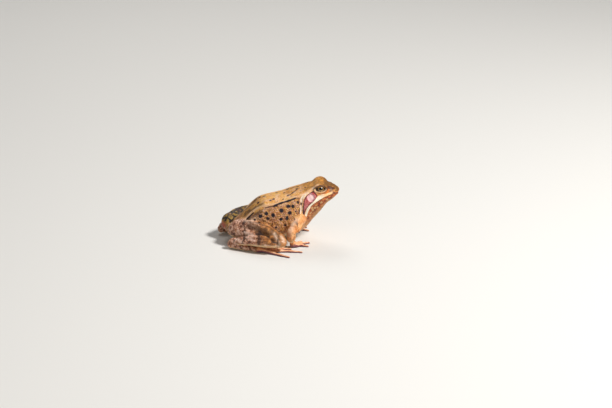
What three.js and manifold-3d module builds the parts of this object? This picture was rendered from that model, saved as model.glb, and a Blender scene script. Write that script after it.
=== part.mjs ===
// Life-size common frog, sitting with its fore body raised and its hind legs folded.
// Millimetres, +Z up, the nose towards +X and the floor at z = 0. The origin is the middle of the footprint.
// While it is modelled, x counts forward from the vent and y outward to the frog's left.
import * as THREE from "three";
import { mergeVertices } from "three/addons/utils/BufferGeometryUtils.js";
import Module from "manifold-3d";

const wasm = await Module();
wasm.setup();

// Driving sizes
const GAP = 0.3; // clearance between pieces that touch
const UP = new THREE.Vector3(0, 0, 1);
const FORWARD = new THREE.Vector3(1, 0, 0);
const DEGREE = Math.PI / 180;
const RIGHT = -1;
const LEFT = 1;

// Upright sections of the trunk and head, from the rump to the snout: the heights of the back, the belly
// and the widest line, half the width there, and how square the section is above and below it.
const AXIAL = [
  { x: 3.0, top: 11.8, bottom: 4.2, widest: 8.0, half: 5.0, power: [2.2, 2.1] },
  { x: 6.5, top: 14.8, bottom: 1.8, widest: 8.8, half: 8.4, power: [2.2, 2.2] },
  { x: 11, top: 18.6, bottom: 0.2, widest: 10.5, half: 10.8, power: [2.3, 2.3] },
  { x: 17, top: 23.8, bottom: -0.3, widest: 13.0, half: 13.4, power: [2.35, 2.4] },
  { x: 23, top: 28.1, bottom: -0.3, widest: 15.5, half: 15.4, power: [2.4, 2.4] },
  { x: 30, top: 29.7, bottom: 0.8, widest: 18.0, half: 16.7, power: [2.4, 2.3] },
  { x: 38, top: 31.2, bottom: 2.6, widest: 20.0, half: 16.4, power: [2.4, 2.1] },
  { x: 45, top: 33.9, bottom: 4.0, widest: 22.2, half: 14.8, power: [2.4, 1.95] },
  { x: 50, top: 35.9, bottom: 6.0, widest: 24.6, half: 13.7, power: [2.45, 1.8] },
  { x: 54, top: 37.2, bottom: 9.6, widest: 26.3, half: 13.2, power: [2.5, 1.7] },
  { x: 58, top: 38.0, bottom: 14.3, widest: 27.9, half: 12.4, power: [2.5, 1.7] },
  { x: 62, top: 38.0, bottom: 19.1, widest: 29.6, half: 11.2, power: [2.5, 1.8] },
  { x: 66, top: 37.5, bottom: 24.6, widest: 31.1, half: 9.6, power: [2.45, 1.95] },
  { x: 69, top: 36.8, bottom: 26.9, widest: 31.9, half: 7.8, power: [2.4, 2.1] },
  { x: 71.0, top: 36.0, bottom: 28.6, widest: 32.4, half: 6.2, power: [2.3, 2.2] },
  { x: 72.4, top: 35.1, bottom: 29.9, widest: 32.6, half: 4.6, power: [2.2, 2.2] },
];
const AXIAL_SHAPE = { sides: 28, steps: 32, direction: FORWARD, reach: [3.0, 1.2] };
const NECK = { x: 47.4, z: 20, lean: 8 * DEGREE };

// The closed mouth from the side: level below the snout, then down to the corner of the jaw.
const MOUTH = [
  [43, 12.0],
  [47.4, 17.4],
  [51.6, 21.6],
  [54.4, 24.9],
  [59.6, 28.7],
  [64.4, 31.1],
  [70, 32.4],
  [80, 33.1],
];
const LIP_OVERHANG = 0.35;

const EYE = { x: 61.4, y: 7.9, z: 35.6, radius: 3.25 };
const LID = { x: 61.4, y: 7.2, z: 35.4, size: [4.9, 4.95, 4.1] };
const EYE_SLIT = { x: 62.0, y: 12.1, z: 36.4, size: [3.6, 4.6, 2.6], turn: 10 * DEGREE };
const EARDRUM = { x: 55.3, z: 31.7, radius: 2.6, thick: 0.8, rim: 0.45 };
const NOSTRIL = { x: 69.8, y: 4.3, z: 36.1, size: [0.75, 1.3, 0.5] };
const HEAD_TURN = { from: 44, to: 56, angle: 8 * DEGREE }; // towards the frog's right

// Folds in the skin, each a row of [x, z] on the flank.
const BACK_FOLD = {
  path: [[12, 17.6], [16.5, 22.0], [23.5, 26.4], [30.4, 27.6], [38, 29.3], [46.5, 32.0], [53, 34.2]],
  radius: 0.95,
  steps: 14,
};
const EAR_FOLD = {
  path: [[57, 35.4], [54, 34.6], [51.3, 32.8], [49.8, 30.4], [49.2, 27.2], [49.0, 23.5]],
  radius: 0.85,
  steps: 16,
};

// Limbs, each a row of middles and half sizes to the side, up and down, for the frog's left side
const UPPER_ARM = [
  { at: [46.6, 11.6, 17.2], size: [4.6, 4.6, 4.8] },
  { at: [43.6, 15.6, 14.0], size: [4.1, 4.0, 4.1] },
  { at: [40.3, 18.9, 11.0], size: [3.0, 3.0, 3.0] },
];
const FOREARM = [
  { at: [40.0, 19.2, 10.5], size: [2.8, 2.9, 2.8] },
  { at: [40.0, 19.2, 7.4], size: [2.8, 3.0, 2.9] },
  { at: [40.8, 18.4, 3.6], size: [1.9, 1.7, 1.8] },
];
const PALM = [
  { at: [41.2, 18.0, 2.2], size: [2.0, 1.6, 2.3] },
  { at: [43.6, 16.8, 1.6], size: [2.9, 1.3, 1.9] },
  { at: [45.4, 15.8, 1.3], size: [2.6, 1.0, 1.6] },
];
const FINGERS = [
  { heading: -96, length: 8.0 },
  { heading: -58, length: 7.6 },
  { heading: -26, length: 10.2 },
  { heading: 10, length: 8.2 },
];
const FINGER = { root: 1.15, middle: 0.85, joint: 1.0, tip: 0.7, arch: 1.5 };

const THIGH = [
  { at: [7.0, 7.2, 10.6], size: [6.2, 6.2, 6.2] },
  { at: [13.6, 12.0, 11.4], size: [6.7, 6.4, 6.4] },
  { at: [22.2, 18.9, 11.2], size: [5.8, 6.0, 5.8] },
  { at: [31.5, 26.6, 8.9], size: [3.9, 4.0, 4.2] },
];
const SHANK = [
  { at: [32.2, 28.9, 7.9], size: [3.5, 3.7, 3.6] },
  { at: [25.0, 26.3, 7.7], size: [4.4, 4.4, 4.0] },
  { at: [12.5, 20.6, 6.9], size: [3.4, 3.6, 3.1] },
  { at: [1.8, 15.4, 5.7], size: [2.4, 2.6, 2.4] },
];
const TARSUS = [
  { at: [1.4, 15.0, 3.4], size: [2.2, 2.4, 2.7] },
  { at: [8.5, 18.0, 2.5], size: [2.3, 1.9, 2.6] },
  { at: [16.2, 21.4, 2.0], size: [2.7, 1.7, 2.3] },
];
const SOLE = { at: [17.0, 21.8], size: [4.2, 3.0, 1.7] };
const TOES = [
  { heading: -30, length: 10.5 },
  { heading: -13, length: 16.5 },
  { heading: 1, length: 23.0 },
  { heading: 14, length: 31.0 },
  { heading: 38, length: 25.0 },
];
const TOE = { root: 1.3, middle: 0.9, joint: 1.1, tip: 0.7, arch: 1.5 };
const WEB = { thick: 0.6, reach: 0.68, dip: 0.3, rows: 5, columns: 3, height: 0.8 };
const LEFT_LEG_BACK = -3.5; // the left leg lies a little farther back than the right

const COLOURS = {
  skin: 0xb9772f,
  throat: 0xb5683a,
  limb: 0xa87338,
  foot: 0xa86a3c,
  eye: 0x2a1c10,
  eardrum: 0xb5706a,
};

// A closed tapering form through the stations: each has its middle and its half sizes to the side, up and down.
// A sphere's grid is laid along the line, so both ends are round and stand out from the last middles by reach.
// The sections are square to the line, or to a fixed direction, and stand with their tops towards up.
// grow swells the form all round.
function sweep(stations, { sides = 12, steps = 12, grow = 0, reach, ...shape } = {}) {
  const form = formOf(stations, shape);
  const [first, last] = (reach ?? [stations[0], stations.at(-1)].map(({ size }) => (size[1] + size[2]) / 2))
    .map((distance) => distance + grow);
  const geometry = new THREE.SphereGeometry(1, sides, steps);
  const place = geometry.getAttribute("position");
  const ring = new THREE.Vector3();
  for (let i = 0; i < place.count; i++) {
    ring.fromBufferAttribute(place, i);
    const share = (1 - THREE.MathUtils.clamp(ring.y, -1, 1)) / 2;
    const distance = share * (form.length + first + last) - first;
    const past = Math.max(-distance / first, (distance - form.length) / last, 0);
    const round = Math.sqrt(Math.max(0, 1 - past * past));
    const along = THREE.MathUtils.clamp(distance / form.length, 0, 1);
    const point = form.at(along, Math.atan2(ring.z, ring.x), grow, round);
    point.addScaledVector(form.forward(along), distance - along * form.length);
    place.setXYZ(i, point.x, point.y, point.z);
  }
  return solid(geometry);
}

// The line and the sections through a row of stations
function formOf(stations, { direction, up = UP } = {}) {
  const line = new THREE.CatmullRomCurve3(stations.map(({ at }) => new THREE.Vector3(...at)));
  const sizes = new THREE.CatmullRomCurve3(stations.map(({ size }) => new THREE.Vector3(...size)));
  const powers = new THREE.CatmullRomCurve3(
    stations.map(({ power = [2, 2] }) => new THREE.Vector3(...power, 0)),
  );
  const forward = (along) => direction ?? line.getTangent(along);
  return {
    line,
    forward,
    length: direction ? line.getPoint(1).sub(line.getPoint(0)).dot(direction) : line.getLength(),
    // The point at a share of the line and an angle above the left side
    at(along, angle, grow = 0, round = 1) {
      const left = new THREE.Vector3().crossVectors(up, forward(along)).normalize();
      const above = new THREE.Vector3().crossVectors(forward(along), left);
      const size = sizes.getPoint(along);
      const high = Math.sin(angle) > 0;
      const { x: crown, y: keel } = powers.getPoint(along);
      const power = 2 / (high ? crown : keel);
      const curve = (v) => Math.sign(v) * Math.abs(v) ** power;
      return line
        .getPoint(along)
        .addScaledVector(left, curve(Math.cos(angle)) * (size.x + grow) * round)
        .addScaledVector(above, curve(Math.sin(angle)) * ((high ? size.y : size.z) + grow) * round);
    },
  };
}

// A closed geometry as a manifold solid, with the shared vertices merged
function solid(geometry) {
  geometry.deleteAttribute("normal");
  geometry.deleteAttribute("uv");
  const merged = mergeVertices(geometry, 1e-4);
  return new wasm.Manifold(
    new wasm.Mesh({
      numProp: 3,
      vertProperties: merged.getAttribute("position").array,
      triVerts: new Uint32Array(merged.index.array),
    }),
  );
}

// The largest closed body of a solid: a scrap that a cut leaves loose is dropped.
function largest(made) {
  return made.decompose().sort((a, b) => b.volume() - a.volume())[0];
}

const join = (...pieces) => pieces.reduce((a, b) => a.add(b));
const cut = (piece, ...tools) => largest(tools.reduce((a, b) => a.subtract(b), piece));
const sidesOf = (make) => [RIGHT, LEFT].map(make);

function ellipsoid([x, y, z], [rx, ry, rz], turn = 0, sides = 16, steps = 10) {
  const geometry = new THREE.SphereGeometry(1, sides, steps);
  return solid(geometry.scale(rx, ry, rz).rotateZ(turn).translate(x, y, z));
}

function box([x0, y0, z0], [x1, y1, z1]) {
  const geometry = new THREE.BoxGeometry(x1 - x0, y1 - y0, z1 - z0);
  return solid(geometry.translate((x0 + x1) / 2, (y0 + y1) / 2, (z0 + z1) / 2));
}

const underFloor = box([-50, -90, -20], [120, 90, 0]);

// Trunk and head in one form
const axialStations = AXIAL.map(({ x, top, bottom, widest, half, power }) => ({
  power,
  at: [x, 0, widest],
  size: [half, top - widest, widest - bottom],
}));
const axial = formOf(axialStations, AXIAL_SHAPE);
const body = sweep(axialStations, AXIAL_SHAPE);
const bodyClear = sweep(axialStations, { ...AXIAL_SHAPE, grow: GAP });

// The share of the trunk's line at x
function shareAt(x) {
  let [low, high] = [0, 1];
  for (let i = 0; i < 24; i++) {
    const share = (low + high) / 2;
    if (axial.line.getPoint(share).x < x) low = share;
    else high = share;
  }
  return (low + high) / 2;
}

// The point on the flank at x and z, sunk below the skin
function onFlank(x, z, side, sunk = 0) {
  const share = shareAt(x);
  let [low, high] = [-90, 90];
  for (let i = 0; i < 24; i++) {
    const degrees = (low + high) / 2;
    if (axial.at(share, degrees * DEGREE).z < z) low = degrees;
    else high = degrees;
  }
  const degrees = (low + high) / 2;
  return axial.at(share, (side === LEFT ? degrees : 180 - degrees) * DEGREE, -sunk);
}

function fold({ path, radius, steps }, side) {
  const stations = path.map(([x, z], i) => ({
    at: onFlank(x, z, side, radius * 0.4).toArray(),
    size: new Array(3).fill(i === 0 || i === path.length - 1 ? radius * 0.5 : radius),
  }));
  return sweep(stations, { sides: 6, steps });
}

// A thin wall across the whole frog that follows the closed mouth
function mouthWall(thick) {
  const geometry = new THREE.BoxGeometry(1, 60, thick, 16, 1, 1);
  const line = new THREE.CatmullRomCurve3(MOUTH.map(([x, z]) => new THREE.Vector3(x, 0, z)));
  const place = geometry.getAttribute("position");
  for (let i = 0; i < place.count; i++) {
    const point = line.getPoint(place.getX(i) + 0.5);
    place.setXYZ(i, point.x, place.getY(i), point.z + place.getZ(i));
  }
  return solid(geometry);
}

// Everything in front of the neck, or behind it
function neckBlock(front) {
  const geometry = new THREE.BoxGeometry(80, 80, 120);
  geometry.translate(front ? 40 - GAP / 2 : -40 + GAP / 2, 0, 0).rotateY(-NECK.lean);
  return solid(geometry.translate(NECK.x, 0, NECK.z));
}

const lid = (side) => ellipsoid([LID.x, LID.y * side, LID.z], LID.size);
const eyeSlit = (side) =>
  ellipsoid([EYE_SLIT.x, EYE_SLIT.y * side, EYE_SLIT.z], EYE_SLIT.size, -side * EYE_SLIT.turn, 16, 8);

function eyeball(side, grow = 0) {
  const radius = EYE.radius + grow;
  return ellipsoid([EYE.x, EYE.y * side, EYE.z], [radius, radius, radius], 0, 16, 10);
}

// The eardrum lies flush on the side of the head, in a raised ring.
function eardrumSeat(side) {
  const { x, z } = EARDRUM;
  const point = onFlank(x, z, side);
  const outward = point.clone().sub(onFlank(x, z, side, 1));
  const back = onFlank(x + 2, z, side).sub(onFlank(x - 2, z, side)).normalize();
  outward.addScaledVector(back, -outward.dot(back)).normalize();
  return { point, outward };
}

function disc(side, radius, thick, lift) {
  const { point, outward } = eardrumSeat(side);
  const turn = new THREE.Quaternion().setFromUnitVectors(new THREE.Vector3(0, 1, 0), outward);
  const geometry = new THREE.CylinderGeometry(radius, radius, thick, 18);
  geometry.applyQuaternion(turn);
  return solid(geometry.translate(...point.addScaledVector(outward, lift).toArray()));
}

function eardrumRim(side) {
  const { point, outward } = eardrumSeat(side);
  const turn = new THREE.Quaternion().setFromUnitVectors(UP, outward);
  const geometry = new THREE.TorusGeometry(EARDRUM.radius + EARDRUM.rim, EARDRUM.rim, 6, 18);
  return solid(geometry.applyQuaternion(turn).translate(...point.toArray()));
}

const nostril = (side) =>
  ellipsoid([NOSTRIL.x, NOSTRIL.y * side, NOSTRIL.z], NOSTRIL.size, side * 35 * DEGREE, 8, 6);

const ridges = sidesOf((side) => [fold(BACK_FOLD, side), fold(EAR_FOLD, side)]).flat();
const whole = join(body, ...ridges, ...sidesOf(lid), ...sidesOf(eardrumRim));
const headWhole = cut(
  whole,
  neckBlock(false),
  ...sidesOf((side) => eyeball(side, GAP)),
  ...sidesOf(eyeSlit),
  ...sidesOf((side) => disc(side, EARDRUM.radius + GAP, 3, 0.8)),
  ...sidesOf(nostril),
);
const [skull, jaw] = headWhole
  .subtract(mouthWall(GAP))
  .decompose()
  .sort((a, b) => b.boundingBox().max[2] - a.boundingBox().max[2]);
const innerJaw = sweep(axialStations, { ...AXIAL_SHAPE, grow: -LIP_OVERHANG });

const group = new THREE.Group();
const pieces = [];

function addPiece(name, made, colour, roughness = 0.5) {
  const mesh = made.getMesh();
  const geometry = new THREE.BufferGeometry();
  geometry.setAttribute("position", new THREE.BufferAttribute(mesh.vertProperties, 3));
  geometry.setIndex(new THREE.BufferAttribute(mesh.triVerts, 1));
  geometry.computeVertexNormals();
  const material = new THREE.MeshStandardMaterial({ color: colour, roughness, metalness: 0 });
  const piece = new THREE.Mesh(geometry, material);
  piece.name = name;
  pieces.push(piece);
  group.add(piece);
}

addPiece("torso", cut(whole, neckBlock(true), underFloor), COLOURS.skin);
addPiece("head", skull, COLOURS.skin);
addPiece("lower_jaw", largest(jaw.intersect(innerJaw)), COLOURS.throat);

// One finger or toe, from its root to its tip on the floor, thicker at its joints
function digit({ root, middle, joint, tip, arch }, [x, y], heading, length, side) {
  const direction = [Math.cos(heading * DEGREE), Math.sin(heading * DEGREE) * side];
  const at = (share, z) => [0, 1].map((i) => [x, y * side][i] + direction[i] * length * share).concat(z);
  const round = (radius) => [radius, radius, radius];
  return [
    { at: at(0.06, arch), size: round(root) },
    { at: at(0.3, arch), size: round(middle) },
    { at: at(0.45, arch * 0.8), size: round(joint) },
    { at: at(0.6, middle), size: round(middle * 0.85) },
    { at: at(0.74, middle * 0.9), size: round(joint * 0.8) },
    { at: at(0.9, tip * 0.85), size: round(tip * 0.85) },
    { at: at(1 - tip / length, tip * 0.7), size: round(tip) },
  ];
}

const DIGIT_SHAPE = { sides: 6, steps: 12 };

// The same stations on the left or right, moved forward or back
const onSide = (stations, side, forward = 0) =>
  stations.map(({ at: [x, y, z], size }) => ({ at: [x + forward, y * side, z], size }));

function hand(side) {
  const palm = sweep(onSide(PALM, side), { sides: 10, steps: 7 });
  const [x, y] = PALM[1].at;
  const fingers = FINGERS.map(({ heading, length }) => digit(FINGER, [x, y], heading, length + 2, side));
  return join(palm, ...fingers.map((finger) => sweep(finger, DIGIT_SHAPE)));
}

// The skin between two toes: a thin sheet whose free edge dips between them
function web(lower, upper) {
  const { thick, reach, dip, rows, columns, height } = WEB;
  const geometry = new THREE.BoxGeometry(1, 1, 1, rows, columns, 1);
  const lines = [lower, upper].map(
    (toe) => new THREE.CatmullRomCurve3(toe.map(({ at }) => new THREE.Vector3(...at))),
  );
  const length = (lines[0].getLength() + lines[1].getLength()) / 2;
  const place = geometry.getAttribute("position");
  for (let i = 0; i < place.count; i++) {
    const across = place.getY(i) + 0.5;
    const distance = (reach - dip * 4 * across * (1 - across)) * (place.getX(i) + 0.5) * length;
    const ends = lines.map((line) => line.getPointAt(Math.min(distance / line.getLength(), 0.92)));
    const point = ends[0].lerp(ends[1], across);
    place.setXYZ(i, point.x, point.y, height + place.getZ(i) * thick);
  }
  return solid(geometry);
}

function foot(side, forward) {
  const [x, y] = SOLE.at;
  const toes = TOES.map(({ heading, length }) => digit(TOE, [x + forward, y], heading, length, side));
  const sole = ellipsoid([x + forward + 1.5, (y + 0.6) * side, 1.4], SOLE.size, side * 0.4, 12, 8);
  const webs = toes.slice(1).map((toe, i) => (side === LEFT ? web(toes[i], toe) : web(toe, toes[i])));
  return join(sole, ...toes.map((toe) => sweep(toe, DIGIT_SHAPE)), ...webs);
}

for (const side of [RIGHT, LEFT]) {
  const word = side === RIGHT ? "right" : "left";
  const back = side === LEFT ? LEFT_LEG_BACK : 0;
  const limb = (stations, sides, steps, forward = 0, up = UP) => (grow) =>
    sweep(onSide(stations, side, forward), { sides, steps, grow, up });

  addPiece("eye_" + word, eyeball(side), COLOURS.eye, 0.1);
  addPiece("ear_" + word, disc(side, EARDRUM.radius, EARDRUM.thick, 0), COLOURS.eardrum);

  const upperArm = limb(UPPER_ARM, 12, 9);
  const forearm = limb(FOREARM, 12, 9, 0, FORWARD);
  addPiece("upper_arm_" + word, cut(upperArm(0), bodyClear), COLOURS.limb);
  addPiece("forearm_" + word, cut(forearm(0), upperArm(GAP)), COLOURS.limb);
  addPiece("hand_" + word, cut(hand(side), forearm(GAP), underFloor), COLOURS.foot);

  const thigh = limb(THIGH, 16, 12, back);
  const shank = limb(SHANK, 14, 12, back);
  const tarsus = limb(TARSUS, 10, 8, back);
  const above = [thigh(GAP), bodyClear];
  addPiece("thigh_" + word, cut(thigh(0), bodyClear, underFloor), COLOURS.limb);
  addPiece("shank_" + word, cut(shank(0), ...above), COLOURS.limb);
  addPiece("tarsus_" + word, cut(tarsus(0), shank(GAP), ...above, underFloor), COLOURS.foot);
  const footTools = [tarsus(GAP), shank(GAP), ...above, underFloor];
  addPiece("foot_" + word, cut(foot(side, back), ...footTools), COLOURS.foot);
}

// The head turns a little to the frog's right: each upright section past the neck swings with it.
const { from, to, angle } = HEAD_TURN;
const full = (to - from) / 2;
for (const { geometry } of pieces) {
  const place = geometry.getAttribute("position");
  for (let i = 0; i < place.count; i++) {
    const [x, y] = [place.getX(i), place.getY(i)];
    const share = THREE.MathUtils.clamp((x - from) / (to - from), 0, 1);
    const turn = angle * share;
    const drift = Math.tan(angle) * (full * share * share + Math.max(0, x - to));
    place.setXY(i, x + y * Math.sin(turn), y * Math.cos(turn) - drift);
  }
}

// The origin moves to the middle of the footprint.
const bounds = new THREE.Box3().setFromObject(group);
const middle = bounds.getCenter(new THREE.Vector3());
for (const piece of pieces) piece.geometry.translate(-middle.x, -middle.y, -bounds.min.z);

export default group;
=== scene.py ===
import math

import bpy
import numpy as np
from mathutils import Matrix, Vector


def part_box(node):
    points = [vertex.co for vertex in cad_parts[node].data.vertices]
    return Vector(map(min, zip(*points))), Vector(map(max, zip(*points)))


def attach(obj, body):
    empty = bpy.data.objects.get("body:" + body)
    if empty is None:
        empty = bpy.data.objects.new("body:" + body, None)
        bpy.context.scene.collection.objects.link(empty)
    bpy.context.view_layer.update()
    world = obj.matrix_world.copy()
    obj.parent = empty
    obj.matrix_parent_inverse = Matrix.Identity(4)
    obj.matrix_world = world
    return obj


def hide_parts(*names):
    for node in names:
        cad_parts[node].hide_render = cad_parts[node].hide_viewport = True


# A common frog sitting on a pale floor: one skin over the whole body, and its two eyes.
# The forms are worked out in millimetres, x forward from the vent, y to the frog's left, z up from the floor.
# The head is straight in them. It is turned, and all is moved into the part's frame, when a mesh is made.

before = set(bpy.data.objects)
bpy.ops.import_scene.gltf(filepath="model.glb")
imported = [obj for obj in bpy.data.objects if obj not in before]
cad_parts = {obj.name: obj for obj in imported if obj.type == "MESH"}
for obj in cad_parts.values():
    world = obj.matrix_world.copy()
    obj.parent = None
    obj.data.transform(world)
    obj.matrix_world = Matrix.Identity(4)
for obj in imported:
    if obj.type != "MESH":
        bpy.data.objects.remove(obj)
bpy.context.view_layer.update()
right, left = -1, 1
up = np.array([0.0, 0.0, 1.0])
forward = np.array([1.0, 0.0, 0.0])

trunk = {
    # x, back, belly, widest line, half the width there, squareness above and below
    "sections": [
        (3.0, 11.8, 4.2, 8.0, 5.0, 2.2, 2.1),
        (6.5, 14.8, 1.8, 8.8, 8.4, 2.2, 2.2),
        (11, 18.6, 0.2, 10.5, 10.8, 2.3, 2.3),
        (17, 23.8, -0.3, 13.0, 13.4, 2.35, 2.4),
        (23, 28.1, -0.3, 15.5, 15.4, 2.4, 2.4),
        (30, 29.7, 0.8, 18.0, 16.7, 2.4, 2.3),
        (38, 31.2, 2.6, 20.0, 16.4, 2.4, 2.1),
        (45, 33.9, 4.0, 22.2, 14.8, 2.4, 1.95),
        (50, 35.9, 6.0, 24.6, 13.7, 2.45, 1.8),
        (54, 37.2, 9.6, 26.3, 13.2, 2.5, 1.7),
        (58, 38.0, 14.3, 27.9, 12.4, 2.5, 1.7),
        (62, 38.0, 19.1, 29.6, 11.2, 2.5, 1.8),
        (66, 37.5, 24.6, 31.1, 9.6, 2.45, 1.95),
        (69, 36.8, 26.9, 31.9, 7.8, 2.4, 2.1),
        (71.0, 36.0, 28.6, 32.4, 6.2, 2.3, 2.2),
        (72.4, 35.1, 29.9, 32.6, 4.6, 2.2, 2.2),
    ],
    "ends": (3.0, 1.2),  # how far the rump and the snout round off past the last sections
    "headTurn": (44, 56, math.radians(8)),  # the head turns to the frog's right between these two x
    # The ridge of the tail bone and the hollows beside it: distance from the middle, height and half width.
    # They come and go between the pairs of x, and come between the two z.
    "hips": {"rows": [(0, 0.45, 1.4), (4.4, -0.5, 2.0)], "come": (7, 12), "go": (20, 26), "high": (12, 17)},
    "hump": {"y": (7.6, 2.0), "x": (22, 3.5), "high": (20, 24), "height": 0.5},  # places and half widths
    # The shoulder, and hollows between and in front of the eyes: middle, how drawn out along x, y and z,
    # height and width
    "bulges": [
        ((44, 10, 29), (1, 1, 1), 0.5, 4.0),
        ((61, 0, 38), (3, 2, 1), -0.45, 1.3),
        ((67, 7.8, 34.9), (2.236, 1.414, 1), -0.55, 1.2),
    ],
    # The ridge from the eye to the nostril: its path, and its height, half width and reach from the middle
    "browRidge": [(64.8, 7.0, 37.0), (67.6, 5.6, 37.1), (70.6, 3.6, 36.7)],
    "browForm": (0.45, 0.95, 0.85),
}

eye = {
    "middle": (61.4, 7.9, 35.6),
    "radius": 3.25,
    "gaze": (0.12, 0.87, 0.48),
    "socket": (62.0, 12.3, 36.0, 3.5, 4.5, 2.2),  # middle and half sizes of the hollow that the lids span
    "socketTurn": math.radians(10),
    "socketBlend": 1.3,
    "lid": (61.4, 7.2, 35.4, 4.9, 4.95, 4.1),  # the same of the bulge round the eye
    "bulgeBlend": 1.5,
    "gap": (3.15, 1.3, 1.95),  # half the width between the lids, and how far they open up and down
    "lidThickness": 0.52,
    "lidEdge": (0.14, 0.5),  # how far the margins of the lids stand up, and over what width
    "lidGroove": (0.13, 1.3, 0.4),  # depth, distance from the margin and half width of the groove round it
    "lidFoot": (0.04, 0.45),  # height of the very margin over the eyeball, and the width that rounds it
    "lidInside": (2.5, 0.7),  # how steeply and how deep the skin falls inside the gap
    "lidBlends": (0.3, 0.8),  # how softly the lids run out at their margins and into the head
    "pupil": (1.55, 0.84),  # half sizes
}

mouth = {
    "line": [
        (43, 12.0),
        (47.4, 17.4),
        (51.6, 21.6),
        (54.4, 24.9),
        (59.6, 28.7),
        (64.4, 31.1),
        (70, 32.4),
        (80, 33.1),
    ],
    "groove": (0.75, 0.32),  # depth and half width
    "inset": 0.35,  # the lower jaw sits this far inside the upper lip
    "lip": (0.3, 0.75, 0.6),  # height, distance above the mouth and half width
    "corner": 55.0,
    "cornerFade": (53.5, 57.0),
}

nostril = {
    "middle": (69.8, 4.3, 36.1),
    "size": (0.8, 1.3, 0.55),
    "turn": math.radians(35),
    "rim": (0.06, 0.4, 0.45),  # height, distance from the edge and half width
    "edge": 0.25,
}
eardrum = {
    "at": (55.3, 31.7),
    "radius": 2.5,
    "rim": (0.36, 0.45, 0.5),  # height, distance outside the drum and half width
    "sink": (0.32, 0.7, 0.1),  # depth, and where it starts inside and outside the drum's edge
    "middle": (0.16, 0.9),  # height and width of the low dome in its middle
    "thick": 3.0,  # how far in and out from the side of the head it reaches
}

# The long fold on each side of the back, and the one over the eardrum: x and z of its path along the side
folds = {
    "back": {
        "path": [(12, 17.6), (16.5, 22.0), (23.5, 26.4), (30.4, 27.6), (38, 29.3), (46.5, 32.0), (53, 34.2)],
        "radius": 0.95,
        "sunk": 0.38,  # how deep its middle line lies in the skin
        "blend": 1.0,
    },
    "ear": {
        "path": [(57, 35.4), (54, 34.6), (51.3, 32.8), (49.8, 30.4), (49.2, 27.2), (49.0, 23.5)],
        "radius": 0.95,
        "sunk": 0.38,
        "blend": 0.5,
    },
}

# Each limb is a row of middles and half sizes to the side, up and down, for the left side
limbs = {
    "upperArm": [
        (46.6, 11.6, 17.2, 4.6, 4.6, 4.8),
        (43.6, 15.6, 14.0, 4.1, 4.0, 4.1),
        (40.3, 18.9, 11.0, 3.0, 3.0, 3.0),
    ],
    "forearm": [
        (40.0, 19.2, 10.5, 2.8, 2.9, 2.8),
        (40.0, 19.2, 7.4, 2.8, 3.0, 2.9),
        (40.8, 18.4, 3.6, 1.9, 1.7, 1.8),
    ],
    "palm": [
        (41.2, 18.0, 2.2, 2.0, 1.6, 2.3),
        (43.6, 16.8, 1.6, 2.9, 1.3, 1.9),
        (45.4, 15.8, 1.3, 2.6, 1.0, 1.6),
    ],
    "thigh": [
        (7.0, 7.2, 10.6, 6.2, 6.2, 6.2),
        (13.6, 12.0, 11.4, 6.7, 6.4, 6.4),
        (22.2, 18.9, 11.2, 5.8, 6.0, 5.8),
        (31.5, 26.6, 8.9, 3.9, 4.0, 4.2),
    ],
    "shank": [
        (32.2, 28.9, 7.9, 3.5, 3.7, 3.6),
        (25.0, 26.3, 7.7, 4.4, 4.4, 4.0),
        (12.5, 20.6, 6.9, 3.4, 3.6, 3.1),
        (2.2, 15.5, 5.4, 2.0, 2.1, 2.0),
    ],
    "tarsus": [
        (1.4, 15.0, 3.4, 2.2, 2.4, 2.7),
        (8.5, 18.0, 2.5, 2.3, 1.9, 2.6),
        (16.2, 21.4, 2.0, 2.7, 1.7, 2.3),
    ],
    "leftLegBack": -3.5,  # the left hind leg lies farther back
    # Long bulges and furrows: degrees above the outer side, where along the limb it starts and ends, height
    # and half width in degrees
    "muscles": {
        "thigh": [
            (26, 0.14, 0.86, -1.1, 13),
            (-4, 0.1, 0.8, 0.5, 16),
            (62, 0.15, 0.8, 0.5, 18),
            (112, 0.2, 0.9, -0.9, 14),
        ],
        "shank": [
            (38, 0.0, 0.8, -1.0, 14),
            (0, 0.08, 0.6, 0.6, 22),
            (80, 0.0, 0.55, 0.4, 18),
            (-50, 0.1, 0.7, -0.5, 14),
        ],
        "tarsus": [(64, 0.1, 0.95, -0.55, 18)],
        "upperArm": [(14, 0.3, 0.95, -0.7, 14), (56, 0.0, 0.6, 0.5, 20), (-30, 0.3, 0.9, 0.5, 18)],
        "forearm": [(0, 0.05, 0.7, 0.45, 26), (50, 0.1, 0.95, -0.6, 15)],
    },
    # Creases round a limb: share of its length, depth, half width
    "creases": {
        "upperArm": [(0.84, 0.4, 0.6)],
        "forearm": [(0.1, 0.35, 0.6), (0.92, 0.35, 0.55)],
        "thigh": [(0.88, 0.4, 0.7)],
        "shank": [(0.1, 0.45, 0.7), (0.9, 0.4, 0.6)],
        "tarsus": [(0.1, 0.3, 0.5), (0.84, 0.3, 0.5)],
    },
}

# Furrows (below 0) and ridges on the right hind leg: path, height and half width
legLines = [
    (
        [
            (17.0, -22.4, 12.0),
            (21.1, -24.5, 12.6),
            (23.4, -26.6, 11.9),
            (25.2, -29.2, 10.9),
            (27.1, -31.1, 9.6),
            (29.1, -31.6, 8.8),
        ],
        -1.7,
        0.8,
    ),
    ([(28.6, -24.0, 14.4), (29.9, -26.3, 13.5), (30.8, -29.6, 11.2), (31.1, -32.0, 8.7)], 0.45, 1.1),
    ([(18.4, -28.0, 9.2), (22.6, -29.4, 9.6), (26.6, -30.6, 8.0)], 0.4, 1.2),
]
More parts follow.
